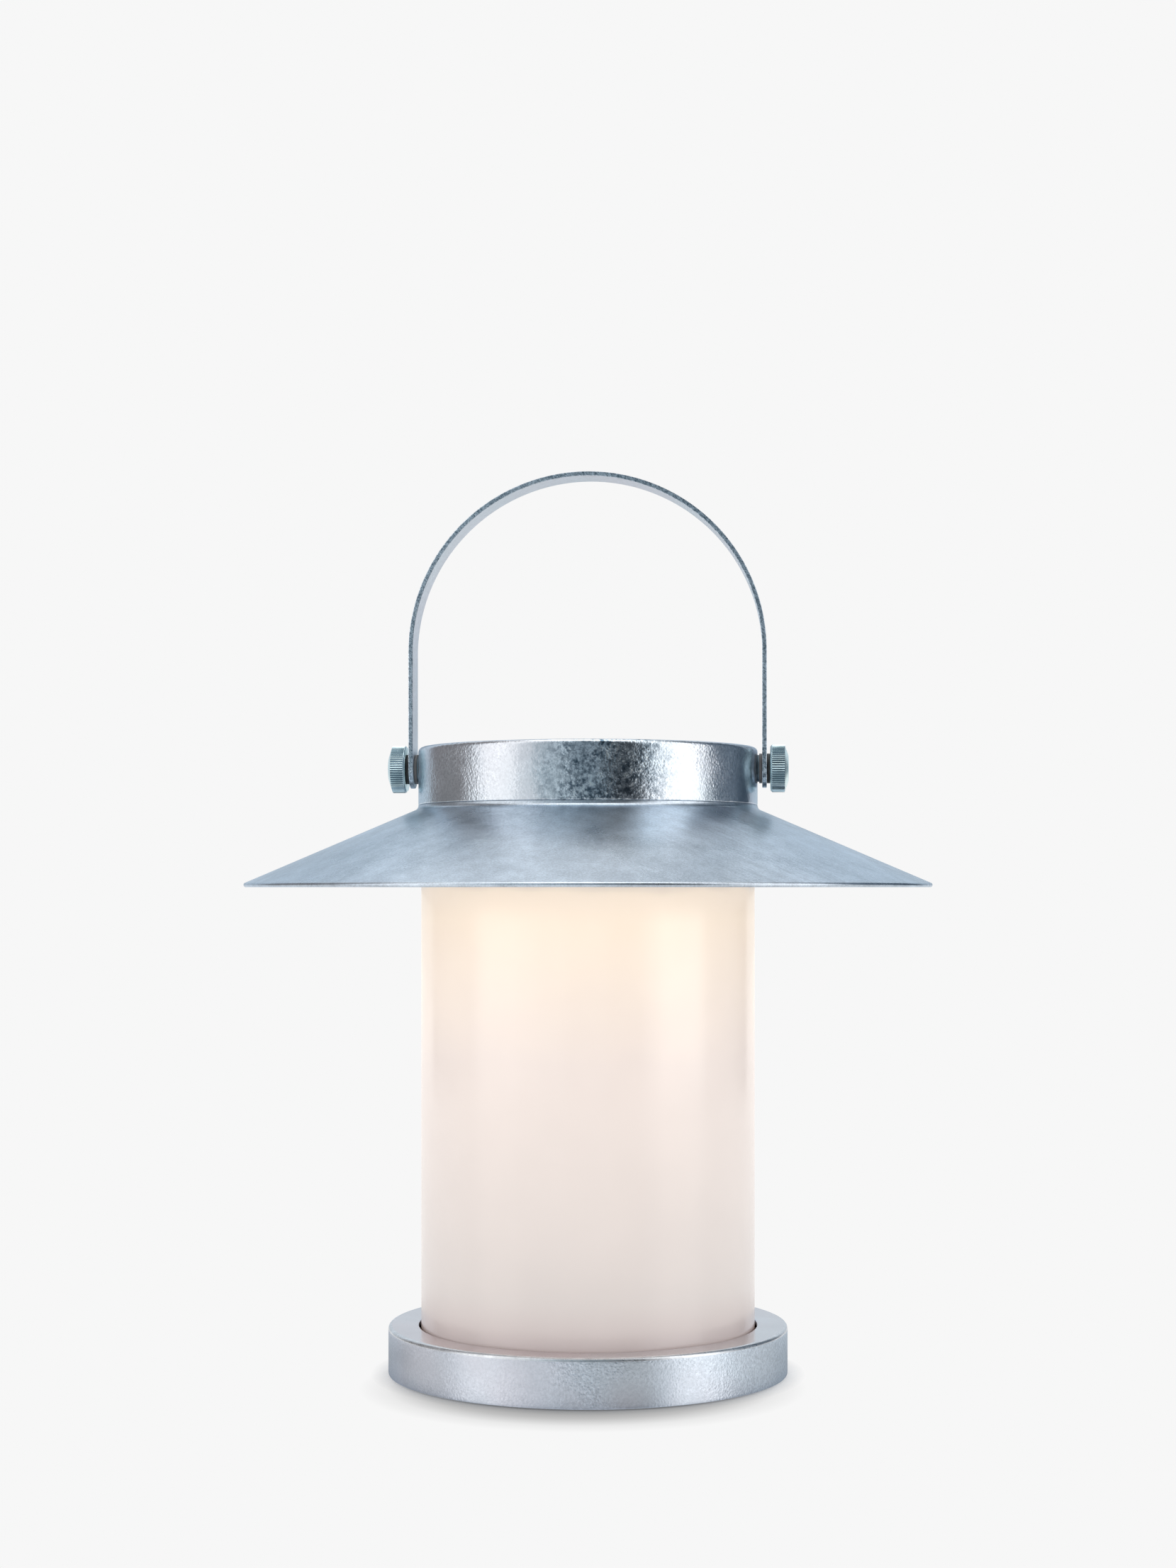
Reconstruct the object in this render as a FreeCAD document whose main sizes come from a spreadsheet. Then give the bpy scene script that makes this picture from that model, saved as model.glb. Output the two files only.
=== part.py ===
"""Metal table lantern: opal cylinder between a pressed base and a wide brim, bail handle on thumb screws.

Millimetres, +Z up. The origin is the middle of the lantern's footprint on the table, the handle's pivots
lie along X, and the lantern's front faces -Y.
"""
import FreeCAD, Part
import math
import os
import Sketcher
from FreeCAD import Placement, Rotation, Vector

doc = FreeCAD.newDocument("lantern")
sheet = doc.addObject("Spreadsheet::Sheet", "Sizes")


class Size:
    """A length with its number and the sheet formula that gives it."""

    def __init__(self, number, formula):
        self.number = float(number)
        self.formula = formula

    def __add__(self, other):
        other = as_size(other)
        return Size(self.number + other.number, f"({self.formula} + {other.formula})")

    def __sub__(self, other):
        other = as_size(other)
        return Size(self.number - other.number, f"({self.formula} - {other.formula})")

    def __mul__(self, other):
        other = as_size(other)
        return Size(self.number * other.number, f"{self.formula} * {other.formula}")

    def __truediv__(self, other):
        other = as_size(other)
        return Size(self.number / other.number, f"{self.formula} / {other.formula}")

    def __neg__(self):
        return Size(-self.number, f"(0 - {self.formula})")


def as_size(value):
    return value if isinstance(value, Size) else Size(value, repr(float(value)))


def size(alias, number, note):
    """Write one driving dimension into the sheet and hand it back by name."""
    row = size.row
    size.row += 1
    sheet.set(f"A{row}", alias)
    sheet.set(f"B{row}", str(number))
    sheet.set(f"C{row}", note)
    sheet.setAlias(f"B{row}", alias)
    return Size(number, f"Sizes.{alias}")


size.row = 1

# Base and feet
base_ledge = size("base_ledge", 11, "how far the base stands out past the cylinder")
base_height = size("base_height", 16, "height of the pressed base")
base_sheet = size("base_sheet", 1.2, "sheet of the pressed base")
base_edge = size("base_edge", 1.2, "radius of the base's upper edge")
foot_stand = size("foot_stand", 0.5, "how far the feet stand below the base's edge")
foot_dia = size("foot_dia", 12, "diameter of a rubber foot")
foot_margin = size("foot_margin", 3.5, "foot from the bottom plate's rim")
plate_sheet = size("plate_sheet", 1.5, "sheet of the bottom plate")
plate_lift = size("plate_lift", 0.8, "bottom plate above the base's edge")
plate_gap = size("plate_gap", 0.3, "gap round the bottom plate")
standoff_gap = size("standoff_gap", 0.75, "gap on both sides of a standoff")
screw_dia = size("screw_dia", 3, "diameter of the assembly screws")
screw_head_dia = size("screw_head_dia", 5, "head diameter of the assembly screws")
screw_head = size("screw_head", 1, "head height of the assembly screws")
screw_play = size("screw_play", 0.05, "radial play of a screw in its thread")
screw_pass = size("screw_pass", 0.2, "radial play of a screw in a plain hole")
screw_bite = size("screw_bite", 6, "length of a screw in its thread")
screw_inset = size("screw_inset", 2.1, "screws of a seat from its bore")
thread_room = size("thread_room", 1, "thread past an assembly screw's tip")

# Opal cylinder and its two seats
opal_dia = size("opal_dia", 112, "outer diameter of the opal cylinder")
opal_wall = size("opal_wall", 3, "wall of the opal cylinder")
opal_length = size("opal_length", 180, "length of the opal cylinder")
opal_gap = size("opal_gap", 0.75, "gap round the cylinder in the base's hole")
opal_edge = size("opal_edge", 0.4, "flame-polished edge of the cylinder")
seal_height = size("seal_height", 1, "thickness of the silicone rings at the cylinder's ends")
holder_web = size("holder_web", 2, "web of a seat across the cylinder's end")
holder_wall = size("holder_wall", 2, "outer wall of a seat")
holder_block = size("holder_block", 8.8, "inner wall of a seat, which takes its screws")
holder_break = size("holder_break", 2, "broken outer edge at a seat's back")
holder_grip = size("holder_grip", 7, "how far the upper seat reaches along the cylinder")
holder_clear = size("holder_clear", 2.5, "lower seat below the base's top")
holder_fit = size("holder_fit", 0.3, "play between a seat and the cylinder")

# Brim and collar
brim_dia = size("brim_dia", 230, "outer diameter of the brim")
brim_drop = size("brim_drop", 26, "rolled edge's centre below the collar's seat")
brim_sheet = size("brim_sheet", 1, "upright thickness of the brim's sheet")
hem_dia = size("hem_dia", 1.6, "diameter of the rolled edge")
collar_over = size("collar_over", 1, "how far the collar stands out past the cylinder")
collar_height = size("collar_height", 20, "height of the collar")
collar_sheet = size("collar_sheet", 0.9, "sheet of the collar")
collar_lip = size("collar_lip", 4.5, "width of the collar's turned-in lip")
collar_edge = size("collar_edge", 1.6, "outer radius at the collar's top")
collar_foot = size("collar_foot", 0.3, "radius at the collar's lower edge")

# Lamp housing in the head
nut_room = size("nut_room", 1, "housing from the ends of the rivet nuts")
tray_wall = size("tray_wall", 1.8, "wall of the housing")
tray_floor = size("tray_floor", 2, "floor and shoulder of the housing")
tray_drop = size("tray_drop", 18, "housing below the brim's seat")
tray_fit = size("tray_fit", 0.5, "gap between the housing's neck and the brim")
lens_room = size("lens_room", 6.2, "depth of the lamp room under the floor")
lens_sheet = size("lens_sheet", 1.6, "thickness of the lamp's lens")
lens_lip = size("lens_lip", 1.8, "lip that carries the lens")
lens_lip_height = size("lens_lip_height", 0.8, "height of that lip")
lens_play = size("lens_play", 0.3, "gap round the lens")
led_board_gap = size("led_board_gap", 3.6, "gap round the lamp's board")
led_board_sheet = size("led_board_sheet", 1.6, "thickness of the lamp's board")
led_width = size("led_width", 3, "side of one LED")
led_height = size("led_height", 0.8, "height of one LED")
led_circle = size("led_circle", 44, "circle that the LEDs lie on")
led_count = size("led_count", 12, "number of LEDs")
reflector_gap = size("reflector_gap", 6, "reflector's mouth from the circle of LEDs")
reflector_sheet = size("reflector_sheet", 1, "thickness of the reflector")

# Cell and boards
cell_dia = size("cell_dia", 18.3, "diameter of the cell")
cell_length = size("cell_length", 50, "length of the cell with its button")
cell_button = size("cell_button", 1.2, "height of the cell's button")
cell_button_dia = size("cell_button_dia", 6, "diameter of the cell's button")
cell_shift = size("cell_shift", 8, "cell in front of the housing's middle")
cell_play = size("cell_play", 0.2, "play of the cell on its cradle")
cradle_width = size("cradle_width", 3, "width of a cradle rib")
cradle_span = size("cradle_span", 30, "distance between the cradle ribs")
cradle_height = size("cradle_height", 5, "height of a cradle rib")
contact_sheet = size("contact_sheet", 0.5, "sheet of a cell contact")
contact_width = size("contact_width", 10, "width of a cell contact")
contact_height = size("contact_height", 14, "height of a cell contact")
board_length = size("board_length", 44, "length of the control board")
board_width = size("board_width", 16, "width of the control board")
board_sheet = size("board_sheet", 1.6, "thickness of the boards")
board_shift = size("board_shift", 22, "control board behind the housing's middle")
post_dia = size("post_dia", 4, "diameter of a board post")
post_height = size("post_height", 4, "height of a board post")
post_inset = size("post_inset", 3, "board post from the board's edges")
small_screw_dia = size("small_screw_dia", 1.6, "diameter of the board screws")
small_head_dia = size("small_head_dia", 3, "head diameter of the board screws")
small_head = size("small_head", 0.8, "head height of the board screws")
small_bite = size("small_bite", 3, "length of a board screw in its post")
bore_room = size("bore_room", 0.5, "bore past a board screw's tip")
root_depth = size("root_depth", 0.2, "how far ribs and posts are rooted in the floor below them")
lead_dia = size("lead_dia", 1.4, "diameter of a lead")
lead_span = size("lead_span", 12, "distance between the two leads of a pair")
lead_pass = size("lead_pass", 0.2, "play of a lead in its hole")
led_lead_shift = size("led_lead_shift", 4, "lamp leads behind the board's middle")

# Closed top inside the collar
lid_sheet = size("lid_sheet", 1.5, "thickness of the lid")
lid_play = size("lid_play", 0.3, "gap round the lid inside the collar")
lid_seal_height = size("lid_seal_height", 0.5, "thickness of the ring under the collar's lip")
panel_corner = size("panel_corner", 0.6, "pocket's corners from the housing's wall, along a side")
panel_sheet = size("panel_sheet", 2.3, "thickness of the solar panel")
panel_play = size("panel_play", 0.2, "gap round the solar panel")
panel_sink = size("panel_sink", 2.4, "depth of the panel's pocket below the lid's top")
cell_film = size("cell_film", 0.3, "thickness of the solar cells")
cell_margin = size("cell_margin", 2.5, "bare margin of the solar panel")
cell_split = size("cell_split", 1, "gap between solar cells")

# Push button in the lid
button_dia = size("button_dia", 10, "diameter of the push button")
button_rise = size("button_rise", 1, "push button above the lid")
button_play = size("button_play", 0.1, "radial play of the push button")
button_flange = size("button_flange", 1, "width of the push button's stop")
button_flange_height = size("button_flange_height", 0.7, "thickness of the push button's stop")
button_slack = size("button_slack", 0.3, "stop below the lid")
button_travel = size("button_travel", 0.8, "travel of the push button")
button_rest = size("button_rest", 0.1, "pressed button's stem from the switch")
button_stem = size("button_stem", 3, "diameter of the push button's stem")
switch_side = size("switch_side", 6, "side of the switch under the button")
switch_height = size("switch_height", 3.4, "height of that switch with its plunger")
switch_cap = size("switch_cap", 1, "height of the switch's plunger")
switch_board_length = size("switch_board_length", 24, "length of the switch's board")
switch_board_width = size("switch_board_width", 9, "width of the switch's board")
hang_height = size("hang_height", 5, "height of the lid's posts for the switch board")

# Handle and its pivots
nut_gap = size("nut_gap", 0.7, "rivet nuts below the lid")
strap_width = size("strap_width", 13, "width of the handle's strap")
strap_sheet = size("strap_sheet", 1.5, "thickness of the handle's strap")
bail_leg = size("bail_leg", 39.2, "pivot to the centre of the handle's arch")
pivot_dia = size("pivot_dia", 4, "diameter of the thumb screws' shanks")
pivot_play = size("pivot_play", 0.1, "radial play of the strap on a shank")
side_play = size("side_play", 0.05, "play of the strap between its washers")
end_flat = size("end_flat", 0.02, "half of the flat left between the roundings of a strap's end")
cross_over = size("cross_over", 1, "how far a hole across the head is cut past its walls")
spacer_dia = size("spacer_dia", 10, "diameter of the dark washers")
spacer_height = size("spacer_height", 1, "thickness of an inner washer")
washer_height = size("washer_height", 1.1, "thickness of an outer washer")
nut_flange_dia = size("nut_flange_dia", 9, "flange diameter of a rivet nut")
nut_flange = size("nut_flange", 0.5, "flange thickness of a rivet nut")
nut_dia = size("nut_dia", 6, "barrel diameter of a rivet nut")
nut_length = size("nut_length", 5, "barrel of a rivet nut inside its flange")
nut_bulge_dia = size("nut_bulge_dia", 6.8, "upset bulge of a rivet nut")
nut_bulge = size("nut_bulge", 1.4, "length of that bulge")
nut_grip = size("nut_grip", 0.2, "that bulge behind the collar's wall")
shank_short = size("shank_short", 0.5, "shank's tip inside the rivet nut's end")
knob_dia = size("knob_dia", 16, "diameter of a thumb screw's head")
knob_height = size("knob_height", 6.15, "height of a thumb screw's head")
knob_crown = size("knob_crown", 1.35, "height of the head's coned outer end")
knob_face_dia = size("knob_face_dia", 8.4, "flat face of the head's outer end")
knob_break = size("knob_break", 0.6, "broken inner edge of the head and tip of the shank")
knob_round = size("knob_round", 3, "radius between cone and face")
knurl_depth = size("knurl_depth", 0.4, "depth of a knurl groove")
knurl_over = size("knurl_over", 0.1, "how far a groove is cut past the head's rim")
knurl_count = size("knurl_count", 64, "number of knurl grooves")
doc.recompute()

# Radii and heights that follow from the sizes above
opal_r = opal_dia / 2
base_r = opal_r + base_ledge
opal_bore = opal_r - opal_wall
base_hole = opal_r + opal_gap
base_low = foot_stand
base_top = base_low + base_height
base_under = base_top - base_sheet
plate_low = base_low + plate_lift
plate_top = plate_low + plate_sheet
plate_r = base_r - base_sheet - plate_gap
screw_r = screw_dia / 2
thread_r = screw_r + screw_play
hole_r = screw_r + screw_pass
holder_outer = opal_r + holder_fit + holder_wall
standoff_circle = (holder_outer + base_r - base_sheet) / 2
standoff_r = (base_r - base_sheet - holder_outer) / 2 - standoff_gap
foot_circle_r = plate_r - foot_margin - foot_dia / 2
holder_inner = opal_bore - holder_fit
holder_bore = holder_inner - holder_block
tray_neck_r = holder_bore - tray_fit
head_screw_circle = holder_bore + screw_inset
opal_low = plate_top + holder_web + seal_height
opal_top = opal_low + opal_length
seat_under = opal_top + seal_height + holder_web
seat = seat_under + brim_sheet
brim_r = brim_dia / 2
hem_r = hem_dia / 2
hem_z = seat - brim_drop
collar_r = opal_r + collar_over
collar_bore = collar_r - collar_sheet
collar_top = seat + collar_height
lip_under = collar_top - collar_sheet
lid_top = lip_under - lid_seal_height
lid_under = lid_top - lid_sheet
lid_r = collar_bore - lid_play
tray_r = collar_r - nut_length - nut_room
tray_inner = tray_r - tray_wall
neck_inner = tray_neck_r - tray_wall
shoulder_top = seat + tray_floor
tray_low = seat - tray_drop
floor_under = tray_low + lens_room
floor_top = floor_under + tray_floor
cell_r = cell_dia / 2
cell_z = floor_top + cell_play + cell_r
board_low = floor_top + post_height
board_top = board_low + board_sheet
pocket_floor = lid_top - panel_sink
boss_side = (tray_inner * math.sqrt(0.5) - panel_corner) * 2
panel_side = boss_side - (panel_play + lid_sheet) * 2
button_shift = (boss_side / 2 + tray_inner) / 2
boss_low = pocket_floor - lid_sheet
panel_top = pocket_floor + panel_sheet
hang_low = lid_under - hang_height
switch_top = hang_low + switch_height
pivot_z = lid_under - nut_bulge_dia / 2 - nut_gap
pivot_r = pivot_dia / 2
strap_inner = collar_r + nut_flange + spacer_height + side_play
strap_outer = strap_inner + strap_sheet
arch_z = pivot_z + bail_leg
washer_x = strap_outer + side_play
knob_x = washer_x + washer_height
shank_length = knob_x - (collar_r - nut_length) - shank_short
knob_r = knob_dia / 2
zero = as_size(0)
groove_share = 0.92  # share of the knurl's pitch that a groove takes at the head's rim


def bind(thing, prop, value):
    """Tie one property of a feature to the sheet."""
    thing.setExpression(prop, as_size(value).formula)


def origin_part(body, role):
    return next(part for part in body.Origin.OriginFeatures if part.Role == role)


def new_body(label):
    body = doc.addObject("PartDesign::Body", label)
    body.Label = label
    body.AllowCompound = True
    return body


def new_sketch(body, role, lift=None):
    """An empty sketch on one of the body's own planes, lifted along the plane's normal."""
    sketch = body.newObject("Sketcher::SketchObject", body.Label + "_sketch")
    sketch.AttachmentSupport = [(origin_part(body, role), "")]
    sketch.MapMode = "FlatFace"
    if lift is not None:
        bind(sketch, "AttachmentOffset.Base.z", lift)
    return sketch


def hold(sketch, geometry, point, x, y):
    """Hold one sketch point by its distances from the sketch's origin; None leaves one free."""
    for kind, distance, axis in (("DistanceX", x, -2), ("DistanceY", y, -1)):
        if distance is None:
            continue
        value = as_size(distance)
        if abs(value.number) < 1e-9:
            sketch.addConstraint(Sketcher.Constraint("PointOnObject", geometry, point, axis))
            continue
        index = sketch.addConstraint(Sketcher.Constraint(kind, -1, 1, geometry, point, value.number))
        bind(sketch, f"Constraints[{index}]", value)


def add_outline(sketch, corners):
    """A closed outline of straight lines through the given corners."""
    first = sketch.GeometryCount
    count = len(corners)
    spots = [Vector(as_size(x).number, as_size(y).number, 0) for x, y in corners]
    for index in range(count):
        sketch.addGeometry(Part.LineSegment(spots[index], spots[(index + 1) % count]))
    for index in range(count):
        after = first + (index + 1) % count
        sketch.addConstraint(Sketcher.Constraint("Coincident", first + index, 2, after, 1))
    for index, (x, y) in enumerate(corners):
        hold(sketch, first + index, 1, x, y)


def add_circle(sketch, x, y, radius):
    center = Vector(as_size(x).number, as_size(y).number, 0)
    index = sketch.addGeometry(Part.Circle(center, Vector(0, 0, 1), radius.number))
    rim = sketch.addConstraint(Sketcher.Constraint("Radius", index, radius.number))
    bind(sketch, f"Constraints[{rim}]", radius)
    hold(sketch, index, 3, x, y)


def add_rectangle(sketch, x, y, length, width):
    left, right = as_size(x) - length / 2, as_size(x) + length / 2
    front, back = as_size(y) - width / 2, as_size(y) + width / 2
    add_outline(sketch, [(left, front), (right, front), (right, back), (left, back)])


def finish(body, feature):
    body.Tip = feature
    doc.recompute()
    return feature


def turn(body, corners, axis_x=None):
    """Turn an outline about Z, or about an upright line at axis_x."""
    sketch = new_sketch(body, "XZ_Plane")
    add_outline(sketch, corners)
    feature = body.newObject("PartDesign::Revolution", body.Label + "_turn")
    feature.Profile = sketch
    feature.ReferenceAxis = (sketch, ["V_Axis"])
    if axis_x is not None:
        top = max(as_size(y).number for x, y in corners)
        line = Part.LineSegment(Vector(axis_x.number, 0, 0), Vector(axis_x.number, top, 0))
        index = sketch.addGeometry(line, True)
        hold(sketch, index, 1, axis_x, 0)
        hold(sketch, index, 2, axis_x, corners[-1][1])
        feature.ReferenceAxis = (sketch, ["Axis0"])
    feature.Angle = 360
    return finish(body, feature)


def turned(label, corners):
    body = new_body(label)
    turn(body, corners)
    return body


def pad(body, sketch, length):
    feature = body.newObject("PartDesign::Pad", body.Label + "_pad")
    feature.Profile = sketch
    bind(feature, "Length", length)
    return finish(body, feature)


def pocket(body, sketch, length, upward=False, both_ways=False):
    """Cut a sketch into the body and make sure that it took something away."""
    before = body.Shape.Volume
    feature = body.newObject("PartDesign::Pocket", body.Label + "_cut")
    feature.Profile = sketch
    feature.Reversed = upward
    if both_ways:
        feature.SideType = "Symmetric"
    bind(feature, "Length", length)
    finish(body, feature)
    if body.Shape.Volume >= before - 1e-6:
        raise RuntimeError(f"a cut of {body.Label} takes nothing away")
    return feature


def around(body, features, count):
    """Repeat features evenly about Z."""
    feature = body.newObject("PartDesign::PolarPattern", body.Label + "_ring")
    feature.Originals = features
    feature.Axis = (origin_part(body, "Z_Axis"), [""])
    feature.Angle = 360
    bind(feature, "Occurrences", count)
    return finish(body, feature)


def round_rims(body, rims, radius):
    """Fillet the circular edges that lie at the given radii and heights."""
    names = []
    for index, edge in enumerate(body.Shape.Edges):
        curve = edge.Curve
        if not isinstance(curve, Part.Circle):
            continue
        for rim, height in rims:
            if abs(curve.Radius - rim.number) < 1e-4 and abs(curve.Center.z - height.number) < 1e-4:
                names.append(f"Edge{index + 1}")
    if len(names) < len(rims):
        raise RuntimeError(f"an edge of {body.Label} to round is missing")
    base = body.Tip
    feature = body.newObject("PartDesign::Fillet", body.Label + "_round")
    feature.Base = (base, names)
    bind(feature, "Radius", radius)
    return finish(body, feature)


def hole_ring(body, circle_r, angle, radius, low, length, count):
    """A ring of upright holes; the first lies at the angle from +X."""
    x = circle_r * math.cos(math.radians(angle))
    y = circle_r * math.sin(math.radians(angle))
    sketch = new_sketch(body, "XY_Plane", low)
    add_circle(sketch, x, y, radius)
    cut = pocket(body, sketch, length, upward=True)
    return around(body, [cut], as_size(count))


def screw_ring(label, circle_r, angle, count, shank_r, shank, head_r, head, seat_z, head_up):
    """Equal screws on a ring, head and shank turned about each screw's own line."""
    body = new_body(label)
    way = 1 if head_up else -1
    crown = seat_z + head * way
    tip = seat_z - shank * way
    corners = [
        (circle_r, tip),
        (circle_r + shank_r, tip),
        (circle_r + shank_r, seat_z),
        (circle_r + head_r, seat_z),
        (circle_r + head_r, crown),
        (circle_r, crown),
    ]
    one = turn(body, corners, circle_r)
    around(body, [one], as_size(count))
    body.Placement = Placement(Vector(0, 0, 0), Rotation(Vector(0, 0, 1), angle))
    return body


def ring(label, bore, rim, low, high):
    return turned(label, [(bore, low), (rim, low), (rim, high), (bore, high)])


def disc(label, rim, low, high):
    return ring(label, zero, rim, low, high)


# Pressed base: a shallow drum, open below, with a hole for the cylinder
base_ring = turned("base_ring", [
    (base_hole, base_under),
    (base_r - base_sheet, base_under),
    (base_r - base_sheet, base_low),
    (base_r, base_low),
    (base_r, base_top),
    (base_hole, base_top),
])
round_rims(base_ring, [(base_r, base_top)], base_edge)

# Bottom plate with holes for the standoff screws and the seat screws
standoff_angle = 45
seat_screw_angle = 0
base_plate = disc("base_plate", plate_r, plate_low, plate_top)
hole_ring(base_plate, standoff_circle, standoff_angle, hole_r, plate_low, plate_sheet, 4)
hole_ring(base_plate, head_screw_circle, seat_screw_angle, hole_r, plate_low, plate_sheet, 4)

# Standoffs welded under the base's top, bored for the base screws
base_standoffs = new_body("base_standoffs")
standoff = turn(base_standoffs, [
    (standoff_circle + thread_r, plate_top),
    (standoff_circle + standoff_r, plate_top),
    (standoff_circle + standoff_r, base_under),
    (standoff_circle + thread_r, base_under),
], standoff_circle)
around(base_standoffs, [standoff], as_size(4))
base_standoffs.Placement = Placement(Vector(0, 0, 0), Rotation(Vector(0, 0, 1), standoff_angle))

# Screws that hold the bottom plate to the standoffs and the cylinder's seat to the bottom plate
bottom_shank = plate_sheet + screw_bite
screw_ring("base_screws", standoff_circle, standoff_angle, 4, screw_r, bottom_shank,
           screw_head_dia / 2, screw_head, plate_low, False)
screw_ring("seat_screws", head_screw_circle, seat_screw_angle, 4, screw_r, bottom_shank,
           screw_head_dia / 2, screw_head, plate_low, False)

# Rubber feet under the bottom plate, between the standoff screws
rubber_feet = new_body("rubber_feet")
foot = turn(rubber_feet, [
    (foot_circle_r, zero),
    (foot_circle_r + foot_dia / 2, zero),
    (foot_circle_r + foot_dia / 2, plate_low),
    (foot_circle_r, plate_low),
], foot_circle_r)
around(rubber_feet, [foot], as_size(4))


def cylinder_seat(label, back, mouth, way):
    """A channel for one end of the cylinder, whose thick inner wall takes the screws.

    It reaches from its back to its mouth; way is +1 where it opens upward and -1 where it opens downward.
    """
    web = back + holder_web * way
    body = turned(label, [
        (holder_bore, back),
        (holder_outer - holder_break, back),
        (holder_outer, back + holder_break * way),
        (holder_outer, mouth),
        (opal_r + holder_fit, mouth),
        (opal_r + holder_fit, web),
        (holder_inner, web),
        (holder_inner, mouth),
        (holder_bore, mouth),
    ])
    depth = screw_bite + thread_room
    low = back if way > 0 else back - depth
    hole_ring(body, head_screw_circle, seat_screw_angle, thread_r, low, depth, 4)
    return body


# Opal cylinder in its two seats, on silicone rings
cylinder_seat("lower_holder", plate_top, base_under - holder_clear, 1)
ring("lower_seal", opal_bore, opal_r, plate_top + holder_web, opal_low)
opal_cylinder = ring("opal_cylinder", opal_bore, opal_r, opal_low, opal_top)
round_rims(opal_cylinder, [(opal_r, opal_low), (opal_r, opal_top)], opal_edge)
ring("upper_seal", opal_bore, opal_r, opal_top, opal_top + seal_height)
cylinder_seat("upper_holder", seat_under, opal_top - holder_grip, -1)

# Spun brim: a flat seat under the collar, a straight cone and a rolled edge
hat_brim = turned("hat_brim", [
    (holder_bore, seat_under),
    (collar_r, seat_under),
    (brim_r - hem_r, hem_z + hem_r - brim_sheet),
    (brim_r - hem_r, hem_z + hem_r),
    (collar_r, seat),
    (holder_bore, seat),
])
hem_sketch = new_sketch(hat_brim, "XZ_Plane")
add_circle(hem_sketch, brim_r - hem_r, hem_z, hem_r)
hem = hat_brim.newObject("PartDesign::Revolution", "hat_brim_hem")
hem.Profile = hem_sketch
hem.ReferenceAxis = (hem_sketch, ["V_Axis"])
hem.Angle = 360
finish(hat_brim, hem)
hole_ring(hat_brim, head_screw_circle, seat_screw_angle, hole_r, seat_under, brim_sheet, 4)

# Collar: a band with a turned-in, rounded lip and two holes for the rivet nuts
collar = turned("collar", [
    (collar_bore, seat),
    (collar_r, seat),
    (collar_r, collar_top),
    (collar_r - collar_lip, collar_top),
    (collar_r - collar_lip, lip_under),
    (collar_bore, lip_under),
])
round_rims(collar, [(collar_r, collar_top)], collar_edge)
round_rims(collar, [(collar_bore, lip_under)], collar_edge - collar_sheet)
round_rims(collar, [(collar_r, seat)], collar_foot)
nut_holes = new_sketch(collar, "YZ_Plane")
add_circle(nut_holes, 0, pivot_z, nut_dia / 2 + screw_play)
pocket(collar, nut_holes, (collar_r + cross_over) * 2, both_ways=True)

# Housing: a stepped cup that rests on the brim's seat and hangs into the cylinder
module_tray = turned("module_tray", [
    (zero, floor_under),
    (neck_inner, floor_under),
    (neck_inner, tray_low + lens_lip_height),
    (neck_inner - lens_lip, tray_low + lens_lip_height),
    (neck_inner - lens_lip, tray_low),
    (tray_neck_r, tray_low),
    (tray_neck_r, seat),
    (tray_r, seat),
    (tray_r, lid_under),
    (tray_inner, lid_under),
    (tray_inner, shoulder_top),
    (neck_inner, shoulder_top),
    (neck_inner, floor_top),
    (zero, floor_top),
])
hole_ring(module_tray, head_screw_circle, seat_screw_angle, hole_r, seat, tray_floor, 4)
root = floor_top - root_depth
cradle = new_sketch(module_tray, "XY_Plane", root)
for rib_x in (-cradle_span / 2, cradle_span / 2):
    add_rectangle(cradle, rib_x, -cell_shift, cradle_width, cell_dia)
pad(module_tray, cradle, cradle_height + root_depth)
saddle = new_sketch(module_tray, "YZ_Plane")
add_circle(saddle, -cell_shift, cell_z, cell_r + cell_play / 2)
pocket(module_tray, saddle, cradle_span + cradle_width * 2, both_ways=True)
board_corners = [
    ((board_length / 2 - post_inset) * side, board_shift + (board_width / 2 - post_inset) * row)
    for side in (-1, 1) for row in (-1, 1)
]
posts = new_sketch(module_tray, "XY_Plane", root)
for x, y in board_corners:
    add_circle(posts, x, y, post_dia / 2)
pad(module_tray, posts, post_height + root_depth)
post_bores = new_sketch(module_tray, "XY_Plane", board_low)
for x, y in board_corners:
    add_circle(post_bores, x, y, small_screw_dia / 2 + screw_play)
pocket(module_tray, post_bores, small_bite + bore_room)
lead_holes = new_sketch(module_tray, "XY_Plane", floor_top)
for side in (-1, 1):
    add_circle(lead_holes, lead_span / 2 * side, board_shift + led_lead_shift, lead_dia / 2 + lead_pass)
pocket(module_tray, lead_holes, tray_floor)

# Screws that clamp housing, brim and upper seat together
head_shank = tray_floor + brim_sheet + screw_bite
screw_ring("head_screws", head_screw_circle, seat_screw_angle, 4, screw_r, head_shank,
           screw_head_dia / 2, screw_head, shoulder_top, True)

# Lamp under the housing's floor: board, LEDs, reflector and lens
led_board_low = floor_under - led_board_sheet
led_board_r = neck_inner - led_board_gap
disc("led_board", led_board_r, led_board_low, floor_under)
led_chips = new_body("led_chips")
led_sketch = new_sketch(led_chips, "XY_Plane", led_board_low - led_height)
add_rectangle(led_sketch, led_circle / 2, 0, led_width, led_width)
one_led = pad(led_chips, led_sketch, led_height)
around(led_chips, [one_led], led_count)
lens_low = tray_low + lens_lip_height
lens_top = lens_low + lens_sheet
lens_r = neck_inner - lens_play
mouth_r = led_circle / 2 + reflector_gap
turned("reflector", [
    (mouth_r, led_board_low),
    (lens_r - reflector_sheet, lens_top),
    (lens_r, lens_top),
    (mouth_r + reflector_sheet, led_board_low),
])
disc("led_lens", lens_r, lens_low, lens_top)

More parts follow.
